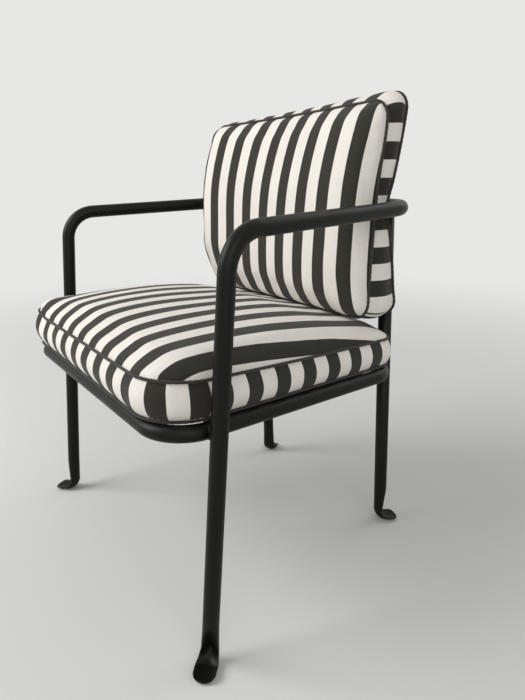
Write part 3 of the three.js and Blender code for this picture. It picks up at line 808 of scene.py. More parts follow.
@dataclass(frozen=True)
class PaleFloor:
    """Plain pale studio floor which goes over into the backdrop far away."""

    far: Colour
    name: str = "studio_floor"
    base: Colour = (0.66, 0.66, 0.645)
    gloss: float = 0.2
    roughness: Pair = (0.75, 0.85)
    cloud: Noise = (1.2, 3.0, 0.5)
    shades: Pair = (0.985, 1.01)
    fade: Pair = (0.5, 3.4)

    def make(self) -> Material:
        """Lays the floor.

        Returns:
            Its material.
        """
        recipe = Recipe(self.name).set(Specular_IOR_Level=self.gloss)
        cloud = recipe.noise(*self.cloud)
        colour = recipe.shade(self.base, recipe.spread(cloud, *self.shades))
        share = recipe.span(recipe.away(), *self.fade, 0.0, 1.0, soft=True)
        recipe.fade(recipe.math("MULTIPLY", share, recipe.on_show()), self.far)
        return recipe.finish(colour, recipe.spread(cloud, *self.roughness), None)


@dataclass
class Finishes:
    """Every material of the chair, made once."""

    paint: Material = field(default_factory=PowderCoat().make)
    sleeve: Material = field(default_factory=BareMetal("bare_sleeve", (0.27, 0.29, 0.30)).make)
    channel: Material = field(
        default_factory=PowderCoat("sling_channel", (0.024, 0.024, 0.022), (0.034, 0.034, 0.031)).make
    )
    nylon: Material = field(default_factory=Plastic("glide_nylon", (0.012, 0.012, 0.012)).make)
    mesh: Material = field(default_factory=OpenMesh().make)
    cloth: Material = field(default_factory=StripedCloth().make)
    cord: Material = field(default_factory=TwistedCord().make)
    tape: Material = field(default_factory=WovenTape().make)
    metal: Material = field(default_factory=BareMetal("zip_metal", (0.15, 0.15, 0.14)).make)


def dress(piece: Piece, material: Material, slot: str, *solids: str) -> Piece:
    """Gives a new piece its finish and hides the solids that it stands for.

    Args:
        piece: The new piece.
        material: Its finish.
        slot: The record's material slot; not used.
        solids: Names of the solids that it replaces.

    Returns:
        The same piece.
    """
    piece.data.materials.clear()
    piece.data.materials.append(material)
    if solids:
        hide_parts(*solids)
    return piece


def fixed(piece: Piece) -> Piece:
    """Lets a piece ride on the chair's own body and reports it.

    Args:
        piece: The piece.

    Returns:
        The same piece.
    """
    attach(piece, "chair")
    LOG.info("made %s with %d faces", piece.name, len(piece.data.polygons))
    return piece


def carry_over(node: str, material: Material, bevel: float = 0.0) -> None:
    """Dresses a solid that stays on show.

    Args:
        node: The solid's name.
        material: Its finish.
        bevel: Width of its softened edges in millimetres, or 0.
    """
    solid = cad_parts[node]
    solid.data.materials.clear()
    solid.data.materials.append(material)
    if bevel > 0:
        soften = solid.modifiers.new("soft_edges", "BEVEL")
        soften.width = bevel * MM
        soften.segments = 2
        soften.limit_method = "ANGLE"
        soften.harden_normals = False
    LOG.info("dressed %s", node)


# Sizes shared by the frame and the cushions


@dataclass(frozen=True)
class ChairSizes:
    """Main sizes in millimetres, measured from the front legs' line at arm height."""

    tube: float = 12.5
    arm_front: Place = (318.0, 0.0, 627.0)
    arm_rear: Place = (255.0, 408.0, 640.0)
    rail_end: Place = (110.0, 408.0, 640.0)
    front_foot: Place = (314.5, -56.0, 0.0)
    rear_foot: Place = (198.0, 425.5, 0.0)
    rear_top: Place = (198.0, 408.0, 640.0)
    front_bend: float = 58.0
    rear_bend: float = 67.0
    ring_front_y: float = -91.0
    ring_front_z: float = 361.0
    ring_rear_z: float = 346.0
    ring_rear_half: float = 246.0
    ring_bend: float = 60.0
    front_gap: float = 3.0
    rear_gap: float = 1.0

    @cached_property
    def shift(self) -> float:
        """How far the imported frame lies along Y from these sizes."""
        low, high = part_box("back_rail")
        return (low[1] + high[1]) / 2 / MM - self.rail_end[1]

    def at(self, x: float | Array, y: float | Array, z: float | Array) -> Array:
        """Place in the shared frame from sizes measured at the front legs' line."""
        x, y, z = np.broadcast_arrays(np.asarray(x, float), np.asarray(y, float), np.asarray(z, float))
        return np.stack([x, y + self.shift, z], -1)

    def on_side(self, place: Place, side: Side) -> Array:
        """One of the named places, on the given side."""
        return self.at(side.value * place[0], place[1], place[2])

    @property
    def rear_leg_y(self) -> float:
        """Where a rear leg's axis passes the ring's rear run."""
        return mix(self.rear_foot[1], self.rear_top[1], self.ring_rear_z / self.rear_top[2])

    @property
    def ring_rear_y(self) -> float:
        """Where the ring's rear run lies."""
        return self.rear_leg_y - 2 * self.tube - self.rear_gap

    def ring_z(self, y: float | Array) -> float | Array:
        """Height of the ring's centre line."""
        fall = (self.ring_front_z - self.ring_rear_z) / (self.ring_rear_y - self.ring_front_y)
        return self.ring_front_z - fall * (y - self.ring_front_y)

    @property
    def leg_at_ring(self) -> Pair:
        """X and Y of the front leg's axis at the ring's height."""
        share = self.ring_front_z / self.arm_front[2]
        return tuple(mix(self.front_foot[k], self.arm_front[k], share) for k in (0, 1))

    def ring_half(self, y: float | Array) -> float | Array:
        """Half the ring's span at its centre line.

        Args:
            y: Where along Y.

        Returns:
            The half span.
        """
        leg_x, leg_y = self.leg_at_ring
        taper = (leg_x - 2 * self.tube - self.front_gap - self.ring_rear_half) / (self.ring_rear_y - leg_y)
        return self.ring_rear_half + taper * (self.ring_rear_y - y)


# Tube frame


@dataclass
class Foot:
    """A pressed foot: the tube's end bent out and dished like a spoon."""

    place: FootPlace
    turn_degrees: float
    reach: float
    pressed_top: float = 74.0
    heel: float = 25.0
    toe: float = 17.25
    tip_length: float = 14.5
    tip_power: float = 2.4
    tip_start: float = 0.35
    tip_sag: float = 0.8
    thickness: float = 3.4
    dish: float = 9.0
    tip_rise: float = 2.0
    sole: float = 2.0
    sole_depth: float = 1.0
    sharpness: float = 8.0
    rim_power: float = 2.4
    flattened_at: float = 0.6
    tip_steps: int = 16
    heel_steps: int = 22
    neck_steps: int = 14

    @property
    def tube_start(self) -> float:
        """Height at which the plain round tube starts."""
        return self.pressed_top + 3 * self.sole

    def heading(self, side: Side) -> Array:
        """Level direction in which the toe points."""
        ahead, angle = -1 if self.place is FootPlace.FRONT else 1, math.radians(self.turn_degrees)
        return np.array([side.value * math.sin(angle), ahead * math.cos(angle), 0.0])

    def spine(self, tube: float) -> list[tuple[float, float, float, float, float, float]]:
        """Walks along the foot, from its tip over the heel and up its neck.

        Args:
            tube: The tube's radius.

        Returns:
            Each place as reach, height, facing, pressed share, width and tip share.
        """
        sole = self.sole - self.sole_depth
        spots = []
        for step in range(self.tip_steps):
            share = math.cos(math.pi / 2 * (step + self.tip_start) / self.tip_steps)
            width = self.toe * (1 - share**self.tip_power) ** (1 / self.tip_power)
            reach = self.reach + self.tip_length * share
            spots.append((reach, sole + self.tip_rise * share**2, 0.0, 1.0, width, share))
        for step in range(self.heel_steps + 1):
            facing = math.pi / 2 * step / self.heel_steps
            pressed = 1 - step / self.heel_steps / 2
            width = mix(tube, self.toe, pressed**2)
            reach = self.heel - tube - self.heel * math.sin(facing)
            spots.append((reach, sole + self.heel * (1 - math.cos(facing)), facing, pressed, width, 0.0))
        for step in range(1, self.neck_steps + 1):
            share = step / self.neck_steps
            pressed = (1 - share) / 2
            height = mix(sole + self.heel, self.pressed_top, share)
            spots.append((-tube, height, math.pi / 2, pressed, mix(tube, self.toe, pressed**2), 0.0))
        return spots

    def rings(self, foot: Array, top: Array, side: Side, tube: float, sides: int) -> Array:
        """Sections of the foot from its tip up to the round tube.

        Args:
            foot: The leg's axis at the floor.
            top: The leg's axis at its upper end.
            side: Which side of the chair.
            tube: The tube's radius.
            sides: Points in each section.

        Returns:
            Points as sections x sides x 3.
        """
        toe = self.heading(side)
        across = np.cross(UP, toe)
        lean = (top - foot) / (top[2] - foot[2])
        cos, sin = np.cos(around(sides)), np.sin(around(sides))
        rings = []
        for reach, height, facing, pressed, width, tip in self.spine(tube):
            inner = toe * math.sin(facing) + UP * math.cos(facing)
            origin = foot + lean * height + toe * reach
            sag = mix(tube, self.dish, pressed) * (1 - self.tip_sag * tip**2)
            rim = mix(tube, 0.0, float(eased(pressed)) ** self.rim_power)
            middle = mix(2 * tube, self.thickness, float(eased(pressed / self.flattened_at)))
            groove = sag + rim - middle
            power = mix(self.sharpness, 1.0, pressed)
            share = np.abs(sin)
            toe_side = sag + rim * share - groove * share**power
            depth = np.where(sin >= 0, sag * (1 - share), toe_side)
            rings.append(origin + across * (cos * width)[:, None] + inner * depth[:, None])
        return np.array(rings)


@dataclass
class TubeFrame:
    """The bent side tubes, rear legs, rail, seat ring and their welds."""

    sizes: ChairSizes
    finishes: Finishes
    sides: int = 40
    bend_steps: int = 26
    joint: float = 0.5
    weld: float = 1.7
    weld_sides: int = 10
    weld_points: int = 96
    weld_gap: float = 0.4
    ripple: float = 0.14
    ripple_points: int = 4
    stub_half: float = 4.5
    stub: float = 8.6
    stub_flare: float = 3.0
    stub_rings: int = 19
    stub_sides: int = 32
    glide_edge: float = 0.2
    front: Foot = field(default_factory=lambda: Foot(FootPlace.FRONT, 47.0, 26.5))
    rear: Foot = field(default_factory=lambda: Foot(FootPlace.REAR, 34.0, 20.5))

    def build(self) -> None:
        """Makes every visible tube and weld."""
        for side in Side:
            self.side_tube(side)
            self.rear_leg(side)
            self.spacers(side)
        self.rail()
        self.ring()
        self.carried_solids()

    def painted(self, piece: Piece, *solids: str) -> None:
        """Paints a piece of the frame, which stands for the given solids."""
        fixed(dress(piece, self.finishes.paint, "frame_paint", *solids))

    def leg(self, foot: Foot, base: Array, top: Array, side: Side, route: Route) -> Array:
        """Lays the sections of a whole leg, from the toe's tip along its route.

        Args:
            foot: The leg's foot.
            base: The leg's axis at the floor.
            top: The leg's axis at its upper end.
            side: Which side of the chair.
            route: The tube's centre line above the foot.

        Returns:
            Points as sections x sides x 3.
        """
        across = np.cross(UP, foot.heading(side))
        low = foot.rings(base, top, side, self.sizes.tube, self.sides)
        tube = tube_rings(route, self.sizes.tube, self.sides, across)
        turn = around(self.sides)
        spokes = np.cos(turn)[:, None] * across + np.sin(turn)[:, None] * -foot.heading(side)
        first = route.points[0] + self.sizes.tube * spokes
        match = np.argmin(np.linalg.norm(tube[0][:, None] - first[0], axis=2)[:, 0])
        tube = np.roll(tube, -match, axis=1)
        if np.linalg.norm(tube[0][1] - first[1]) > np.linalg.norm(tube[0][-1] - first[1]):
            tube = np.roll(tube[:, ::-1], 1, axis=1)
        rings = np.concatenate([low, tube])
        rings[..., 2] = np.maximum(rings[..., 2], foot.sole)
        return rings

    def side_tube(self, side: Side) -> None:
        """Bends one side tube: foot, front leg, arm, rear corner and its share of the rail.

        Args:
            side: Which side of the chair.
        """
        sizes = self.sizes
        places = (sizes.front_foot, sizes.arm_front, sizes.arm_rear, sizes.rail_end)
        base, arm_front, arm_rear, end = (sizes.on_side(p, side) for p in places)
        start = mix(base, arm_front, self.front.tube_start / sizes.arm_front[2])
        bends = [0, sizes.front_bend, sizes.rear_bend, 0]
        route = Route.bent([start, arm_front, arm_rear, end], bends, steps=self.bend_steps)
        rings = self.leg(self.front, base, arm_front, side, route)
        centre, heading = rings[-1].mean(0), route.tangents[-1]
        rings[-1] -= heading * self.joint
        rings = np.concatenate([rings, self.drawn_in(rings[-1], centre, heading)])
        self.painted(loft(f"{side.word}_side_tube_bent", rings), f"{side.word}_side_tube")

    def drawn_in(self, ring: Array, centre: Array, heading: Array) -> Array:
        """A last ring drawn in a little, which leaves a fine line at the joint."""
        return (centre + (ring - centre) * (1 - self.joint / self.sizes.tube) + heading * self.joint)[None]

    def rear_leg(self, side: Side) -> None:
        """Makes one rear leg with its foot, and the weld bead under the rail.

        Args:
            side: Which side of the chair.
        """
        sizes = self.sizes
        base, top = sizes.on_side(sizes.rear_foot, side), sizes.on_side(sizes.rear_top, side)
        start = mix(base, top, self.rear.tube_start / sizes.rear_top[2])
        rings = self.leg(self.rear, base, top, side, Route.bent([start, top], [0, 0]))
        self.painted(loft(f"{side.word}_rear_leg_tube", rings), f"{side.word}_rear_leg")
        count, radius = self.weld_points, sizes.tube + self.weld_gap
        turn = around(count)
        rise = np.sqrt(np.maximum(radius**2 - (radius * np.sin(turn)) ** 2, 0))
        path = top + np.stack([radius * np.cos(turn), radius * np.sin(turn), -rise], -1)
        bead = self.weld * (1 + self.ripple * np.sin(np.arange(count) * 2 * math.pi / self.ripple_points))
        rings = tube_rings(Route.loop(path), bead, self.weld_sides, UP)
        self.painted(loft(f"{side.word}_rail_weld", rings, closed=True))

    def spacers(self, side: Side) -> None:
        """Welds short stubs between the ring and the legs.

        Args:
            side: Which side of the chair.
        """
        sizes = self.sizes
        leg_x, leg_y = sizes.leg_at_ring
        z, ring_x = float(sizes.ring_z(leg_y)), float(sizes.ring_half(leg_y))
        ends = (sizes.at(side.value * ring_x, leg_y, z), sizes.at(side.value * leg_x, leg_y, z))
        self.spacer(f"{side.word}_front_spacer", *ends)
        x, z = side.value * sizes.rear_foot[0], sizes.ring_rear_z
        ends = (sizes.at(x, sizes.ring_rear_y, z), sizes.at(x, sizes.rear_leg_y, z))
        self.spacer(f"{side.word}_rear_spacer", *ends)

    def spacer(self, solid: str, start: Array, end: Array) -> None:
        """Makes one stub, flared where it is welded on.

        Args:
            solid: The plain solid that it stands for.
            start: The ring's centre line.
            end: The leg's centre line.
        """
        middle, heading = (start + end) / 2, unit(end - start)
        reach = np.linspace(-self.stub_half, self.stub_half, self.stub_rings)
        radius = self.stub + self.stub_flare * (np.abs(reach) / self.stub_half) ** 2
        route = Route(middle + reach[:, None] * heading, np.repeat(heading[None], len(reach), 0))
        self.painted(loft(f"{solid}_weld", tube_rings(route, radius, self.stub_sides, UP)), solid)

    def rail(self) -> None:
        """The straight rail between the two side tubes."""
        ends = [self.sizes.on_side(self.sizes.rail_end, side) for side in (Side.RIGHT, Side.LEFT)]
        heading = unit(ends[1] - ends[0])
        route = Route.bent([ends[0] + heading * self.joint, ends[1] - heading * self.joint], [0, 0])
        rings = tube_rings(route, self.sizes.tube, self.sides, UP)
        caps = [self.drawn_in(rings[k], rings[k].mean(0), way * heading) for k, way in ((0, -1), (-1, 1))]
        self.painted(loft("back_rail_tube", np.concatenate([caps[0], rings, caps[1]])), "back_rail")

    def ring(self) -> None:
        """The closed seat ring."""
        sizes = self.sizes
        rear, front = sizes.ring_rear_y, sizes.ring_front_y
        spans = ((1, rear), (1, front), (-1, front), (-1, rear))
        corners = [sizes.at(s * sizes.ring_half(y), y, sizes.ring_z(y)) for s, y in spans]
        route = Route.bent(corners, [sizes.ring_bend] * 4, closed=True, steps=self.bend_steps)
        rings = tube_rings(route, sizes.tube, self.sides, UP)
        self.painted(loft("seat_ring_tube", rings, closed=True), "seat_ring")

    def carried_solids(self) -> None:
        """Dresses the solids that stay as they are."""
        for side in Side:
            carry_over(f"{side.word}_rail_spigot", self.finishes.sleeve)
            for end in FootPlace:
                carry_over(f"{side.word}_{end.value}_glide", self.finishes.nylon, self.glide_edge)
        carry_over("seat_ring_sleeve", self.finishes.sleeve)


# Slung seat


@dataclass
class SlungSeat:
    """The mesh panel under the seat cushion, with its channels and splines."""

    sizes: ChairSizes
    finishes: Finishes
    channel_width: float = 11.0
    channel_height: float = 10.0
    hem: float = 3.1
    thickness: float = 0.9
    end_inset: float = 80.0
    gap: float = 0.3
    sag: float = 1.2
    columns: int = 90
    rows: int = 60
    curl_steps: int = 14
    curl_start: float = -0.8 * math.pi
    lead_in: float = 0.6
    wall_share: float = 0.8
    channel_edge: float = 0.5
    spline_edge: float = 0.3

    def rise(self) -> float:
        """Height of the panel over the ring's centre line."""
        return self.sizes.tube - self.gap - self.channel_height / 2

    def hem_line(self, y: float | Array) -> float | Array:
        """Half the span between the two hems."""
        return self.sizes.ring_half(y) - self.sizes.tube - self.gap - self.channel_width / 2

    def profile(self, half: float) -> tuple[Array, Array]:
        """Draws the line across the cloth, from one rolled hem to the other.

        Args:
            half: Half the span between the hems.

        Returns:
            X and rise along the line.
        """
        roll = self.hem - self.thickness / 2
        turn = np.linspace(self.curl_start, math.pi, self.curl_steps + 1)
        curl_x, curl_z = roll * np.cos(turn), roll * np.sin(turn)
        reach = half - roll - self.lead_in
        flat = np.linspace(reach, -reach, self.columns)
        x = np.concatenate([half + curl_x, flat, -(half + curl_x[::-1])])
        droop = -self.sag * (1 - (flat / half) ** 2)
        z = np.concatenate([curl_z, droop, curl_z[::-1]])
        return x, z

    def build(self) -> None:
        """Makes the sling and dresses the channels and splines."""
        sizes = self.sizes
        front, rear = sizes.ring_front_y + self.end_inset, sizes.ring_rear_y - self.end_inset
        depths = np.linspace(front, rear, self.rows)
        lines = []
        for y in depths:
            x, z = self.profile(float(self.hem_line(y)))
            lines.append(sizes.at(x, y, sizes.ring_z(y) + self.rise() + z))
        grid = np.array(lines)
        rows, columns = grid.shape[:2]
        faces = grid_faces(rows, columns)[:, [0, 3, 2, 1]]
        piece = make_mesh("seat_sling_cloth", grid.reshape(-1, 3), faces)
        u = np.broadcast_to(walked(grid[rows // 2])[None], (rows, columns)).ravel() * MM
        v = np.broadcast_to(depths[:, None], (rows, columns)).ravel() * MM
        corners = faces.ravel()
        write_uv(piece, np.stack([u[corners], v[corners]], -1))
        wall = piece.modifiers.new("thickness", "SOLIDIFY")
        wall.thickness = self.thickness * self.wall_share * MM
        wall.offset = 0.0
        dress(piece, self.finishes.mesh, "sling_mesh", "seat_sling")
        fixed(piece)
        for side in Side:
            carry_over(f"{side.word}_sling_channel", self.finishes.channel, self.channel_edge)
            carry_over(f"{side.word}_sling_spline", self.finishes.nylon, self.spline_edge)


# Cushions


@dataclass(frozen=True)
class Filling:
    """Stuffing that presses a sewn cover out between its held seams."""

    pressure: float = 4.0
    frames: int = 20
    spare_cloth: float = -0.015
    most_move: float = 4.0
    calm_steps: int = 8
    quality: int = 6
    mass: float = 0.25
    stretch: float = 18.0
    shear: float = 8.0
    bending: float = 0.35

    def press_out(self, piece: Piece, held: Array) -> None:
        """Runs cloth under pressure and keeps a limited share of its movement.

        Args:
            piece: The cover, whose vertices are moved.
            held: One number per vertex, 1 where the cloth is held and 0 where it is free.
        """
        before = np.array([v.co[:] for v in piece.data.vertices])
        cover = piece.copy()
        cover.data = piece.data.copy()
        bpy.context.scene.collection.objects.link(cover)
        group = cover.vertex_groups.new(name="held")
        for index in np.nonzero(held > 0)[0]:
            group.add([int(index)], float(held[index]), "REPLACE")
        cloth = cover.modifiers.new("cloth", "CLOTH")
        settings = cloth.settings
        settings.quality = self.quality
        settings.mass = self.mass
        settings.tension_stiffness = self.stretch
        settings.compression_stiffness = self.stretch
        settings.shear_stiffness = self.shear
        settings.bending_stiffness = self.bending
        settings.use_pressure = True
        settings.uniform_pressure_force = self.pressure
        settings.vertex_group_mass = "held"
        settings.shrink_min = self.spare_cloth
        settings.effector_weights.gravity = 0
        cloth.collision_settings.use_collision = False
        cloth.point_cache.frame_end = self.frames
        scene = bpy.context.scene
        for number in range(1, self.frames + 1):
            scene.frame_set(number)
        ready = cover.evaluated_get(bpy.context.evaluated_depsgraph_get())
        after = np.array([v.co[:] for v in ready.to_mesh().vertices])
        ready.to_mesh_clear()
        scene.frame_set(1)
        bpy.data.objects.remove(cover)
        move = self.calmed(piece, after - before, held)
        size = np.linalg.norm(move, axis=1, keepdims=True)
        limit = self.most_move * MM
        move *= np.where(size > 0, limit * np.tanh(size / limit) / np.maximum(size, 1e-9), 0)
        piece.data.vertices.foreach_set("co", (before + move).ravel())
        piece.data.update()
        most = float(np.linalg.norm(move, axis=1).max() / MM)
        LOG.info("%s pressed out by up to %.1f mm", piece.name, most)

    def calmed(self, piece: Piece, move: Array, held: Array) -> Array:
        """Evens out the movement of neighbouring points, with the held ones at rest.

        Args:
            piece: The cover.
            move: Movement of each vertex.
            held: One number per vertex, 1 where the cloth is held.

        Returns:
            The evener movement.
        """
        ends = np.array([edge.vertices[:] for edge in piece.data.edges])
        start, end = np.concatenate([ends, ends[:, ::-1]]).T
        neighbours = np.bincount(start, minlength=len(move))[:, None]
        free = (1 - held)[:, None]
        for _ in range(self.calm_steps):
            total = np.stack([np.bincount(start, move[end, axis], len(move)) for axis in range(3)], -1)
            move = free * (move + total / neighbours) / 2
        return move


@dataclass(frozen=True)
class Outline:
    """A rounded outline walked from the middle of its first corner, outward directions included."""

    points: Array
    normals: Array
    lengths: Array
    marks: tuple[float, ...]

    @classmethod
    def rounded(cls, corners: Sequence[Pair], radii: Sequence[float], steps: int = 48) -> "Outline":
        """Rounds a polygon that is walked anticlockwise.

        Args:
            corners: Its corners.
            radii: Radius at each corner.
            steps: Places along each corner, an even number.

        Returns:
            The outline, with marks at the middle of each corner.
        """
        flat = [np.array([x, y, 0.0]) for x, y in corners]
        route = Route.bent(flat, radii, closed=True, steps=steps)
        middles = [steps // 2 + (steps + 1) * i for i in range(len(corners))]
        order = np.roll(np.arange(len(route.points)), -middles[0])
        order = np.append(order, order[0])
        line, ahead = route.points[order, :2], route.tangents[order, :2]
        lengths = walked(line)
        marks = tuple(float(lengths[m - middles[0]]) for m in middles) + (float(lengths[-1]),)
        return cls(line, np.stack([ahead[:, 1], -ahead[:, 0]], -1), lengths, marks)

    def at(self, distance: Array) -> tuple[Array, Array]:
        """Finds spots on the outline.

        Args:
            distance: Distances along it.

        Returns:
            Places and outward directions.
        """
        place = np.stack([np.interp(distance, self.lengths, self.points[:, k]) for k in (0, 1)], -1)
        out = np.stack([np.interp(distance, self.lengths, self.normals[:, k]) for k in (0, 1)], -1)
        return place, unit(out)


@dataclass
class BoxedCushion:
    """A boxed cushion sewn from two panels and a border, with piping in both seams."""

    sizes: ChairSizes
    finishes: Finishes
    name: str
    outer_piping: str
    inner_piping: str
    cells: tuple[int, int] = (76, 68)
    closer_at_ends: float = 0.72
    border_rows: int = 14
    piping: float = 2.25
    piping_lift: float = 2.86
    cord_sink: float = 0.7
    cord_fluff: float = 0.35
    cord_step: float = 1.7
    cord_lay: float = 8.5
    cord_sides: int = 10
    strand_depth: float = 0.16
    lean: Pair = (0.6, 0.8)
    crown_power: float = 3.0
    crown_fullness: float = 0.5
    panel_shift: float = 0.0
    strips: tuple[tuple[int, float, float], ...] = ((0, 0.0, 0.0),)
    runs_on: bool = False
    seam_depth: float = 0.8
    seam_half: float = 4.0
    zip_run: tuple[int, int] = (0, 1)
    zip_ends: float = 30.0
    pressed_power: int = 8
    gather_depth: float = 1.3
    gather_reach: float = 20.0
    gather_from: float = 3.0
    gather_waves: tuple[tuple[float, float, float], ...] = ((31.0, 0.8, 0.55), (19.3, 2.1, 0.45))
    lull_wave: float = 171.0
    lull: float = 0.4
    swell_depth: float = 1.5
    swell_from: float = 30.0
    swell_waves: tuple[float, float, float] = (59.0, 91.0, 77.0)
    swell_drift: float = 1.2
    swell_phase: float = 0.9
    border_gather: float = 0.9
    filling: Filling = field(default_factory=Filling)

    def outline(self) -> Outline:
        """The seams' outline, flat."""
        raise NotImplementedError

    def panel(self, flat: Array, u: Array, v: Array, face: Face) -> Array:
        """Places on a panel."""
        raise NotImplementedError

    def border(self, flat: Array, out: Array, share: Array) -> Array:
        """Places on the border, from the inner seam at 0 to the outer one at 1."""
        raise NotImplementedError

    def seam_lift(self, face: Face) -> Array:
        """Direction in which a seam's piping stands off its panel."""
        raise NotImplementedError

    def crown(self, u: Array, v: Array) -> Array:
        """Share of the crown's height, steep at the seams and smooth on top."""
        inside = (1 - np.abs(u) ** self.crown_power) * (1 - np.abs(v) ** self.crown_power)
        return np.maximum(inside, 0) ** self.crown_fullness

    def spacing(self, cells: int) -> Array:
        """Shares along an edge, closer near both ends."""
        even = np.arange(cells + 1) / cells
        return mix(even, (1 - np.cos(math.pi * even)) / 2, self.closer_at_ends)

    def pressed(self, u: Array, v: Array) -> Array:
        """Share of the way from a panel's middle to its seams, squarish all round."""
        return (np.abs(u) ** self.pressed_power + np.abs(v) ** self.pressed_power) ** (1 / self.pressed_power)

    def grid(self) -> tuple[Array, Array, Array, Array, Array]:
        """Lays the panels' grid inside the outline.

        Returns:
            Flat places, u and v from -1 to 1, and the outline's distances and outward directions at its rim.
        """
        outline = self.outline()
        columns, rows = self.cells
        tu, tv = self.spacing(columns), self.spacing(rows)
        marks = outline.marks
        front = mix(marks[0], marks[1], tu)
        right = mix(marks[1], marks[2], tv)
        back = mix(marks[2], marks[3], tu)
        left = mix(marks[3], marks[4], tv)
        f, r = outline.at(front)[0], outline.at(right)[0]
        b, l = outline.at(back)[0][::-1], outline.at(left)[0][::-1]
        s, t = np.meshgrid(tu, tv, indexing="ij")
        s, t = s[..., None], t[..., None]
        flat = (1 - t) * f[:, None] + t * b[:, None] + (1 - s) * l[None] + s * r[None]
        flat -= (1 - s) * (1 - t) * f[0] + s * (1 - t) * f[-1] + (1 - s) * t * b[0] + s * t * b[-1]
        rim = np.concatenate([front[:-1], right[:-1], back[:-1], left[:-1]])
        return flat, 2 * s[..., 0] - 1, 2 * t[..., 0] - 1, rim, outline.at(rim)[1]

    def rim_indices(self) -> list[int]:
        """Walks round the grid's rim with the outline.

        Returns:
            Grid numbers of its points.
        """
        columns, rows = self.cells
        number = np.arange((columns + 1) * (rows + 1)).reshape(columns + 1, rows + 1)
        sides = (number[:-1, 0], number[-1, :-1], number[:0:-1, -1], number[0, :0:-1])
        return np.concatenate(sides).tolist()

    def build(self, solids: Sequence[str]) -> None:
        """Sews, fills and dresses the cushion.

        Args:
            solids: The solids that the cover stands for.
        """
        flat, u, v, rim_at, rim_out = self.grid()
        plane = flat.reshape(-1, 2)
        outer = self.panel(plane, u.ravel(), v.ravel(), Face.OUTER)
        inner = self.panel(plane, u.ravel(), v.ravel(), Face.INNER)
        walk = self.rim_indices()
        rim = plane[walk]
        shares = (np.arange(1, self.border_rows) / self.border_rows)[:, None]
        band = self.border(rim[None], rim_out[None], shares)
        total = len(outer)
        points = np.vstack([outer, inner, band.reshape(-1, 3)])
        faces, maps = self.sew(walk)
        cloth = self.cloth_maps(outer, inner, rim_at)
        corners = [cloth[kind][index] for kind, indices in maps for index in indices]
        piece = make_mesh(self.name, points, faces)
        write_uv(piece, np.array(corners) * MM)
        turn_outward(piece)
        self.filling.press_out(piece, self.held(len(points), total, walk, rim_at))
        self.pucker(piece, u.ravel(), v.ravel(), rim_at)
        self.smooth(piece)
        dress(piece, self.finishes.cloth, "striped_cloth", *solids)
        fixed(piece)
        self.cord(Face.OUTER, self.outer_piping)
        self.cord(Face.INNER, self.inner_piping)

    def sew(self, walk: list[int]) -> tuple[list[tuple[int, ...]], list[tuple[str, tuple[int, ...]]]]:
        """Joins the two panels and the border into one skin.

        Args:
            walk: Rim points in order.

        Returns:
            Faces, and the map and entries that each one uses.
        """
        columns, rows = self.cells
        total, count = (columns + 1) * (rows + 1), len(walk)
        faces: list[tuple[int, ...]] = []
        maps: list[tuple[str, tuple[int, ...]]] = []
        for quad in map(tuple, grid_faces(columns + 1, rows + 1).tolist()):
            faces += [quad, tuple(total + k for k in quad[::-1])]
            maps += [("outer", quad), ("inner", quad[::-1])]
        last = self.border_rows

        def spot(row: int, column: int) -> int:
            """Finds a point of the border, seams included.

            Args:
                row: Row from the inner seam.
                column: Place round the rim.

            Returns:
                The point's number.
            """
            if row == 0:
                return total + walk[column % count]
            if row == last:
                return walk[column % count]
            return 2 * total + (row - 1) * count + column % count

        for row in range(last):
            for column in range(count):
                places = ((row, column), (row, column + 1), (row + 1, column + 1), (row + 1, column))
                faces.append(tuple(spot(*p) for p in places))
                maps.append(("band", tuple(r * 2 * count + column + c for r, c in places)))
        return faces, maps

    def cloth_maps(self, outer: Array, inner: Array, rim_at: Array) -> dict[str, Array]:
        """Measures the cloth flat, as it was cut.

        Args:
            outer: Points of the outer panel.
            inner: Points of the inner panel.
            rim_at: Distances of the rim's points along the outline.

        Returns:
            Millimetres across and along the stripes for both panels and the border.
        """
        columns, rows = self.cells
        maps = {}
        for kind, points in (("outer", outer), ("inner", inner)):
            grid = points.reshape(columns + 1, rows + 1, 3)
            maps[kind] = self.flat_cut(grid).reshape(-1, 2)
        ends = np.append(rim_at, self.outline().marks[-1])
        shift = self.strip_shift((ends[:-1] + ends[1:]) / 2)
        outer_at = np.stack([ends[:-1] + shift, ends[1:] + shift], -1).ravel()
        longer = self.inner_lead(ends)
        longer = np.stack([longer[:-1], longer[1:]], -1).ravel()
        share = np.arange(self.border_rows + 1)[:, None] / self.border_rows
        along = outer_at[None] + (1 - share) * longer[None]
        band = np.broadcast_arrays(along, self.border_height() * share)
        maps["band"] = np.stack(band, -1).reshape(-1, 2)
        return maps

    def inner_lead(self, distance: Array) -> Array:
        """How far the inner seam's length runs ahead of the outer seam's."""
        return 0 * distance

    def strip_starts(self) -> list[float]:
        """Distances along the outline at which the border's strips start."""
        marks = self.outline().marks
        return [marks[mark] + offset for mark, offset, _ in self.strips]

    def strip_shift(self, distance: Array) -> Array:
        """Finds how far the stripes are shifted along the border's strips.

        Args:
            distance: Distances along the outline.

        Returns:
            The shift at each of them.
        """
        shifts = [shift for _, _, shift in self.strips]
        if self.runs_on:
            shifts[-1] = shifts[0] - self.outline().marks[-1]
        strip = np.searchsorted(self.strip_starts(), distance, side="right") - 1
        return np.array(shifts)[np.maximum(strip, 0)]

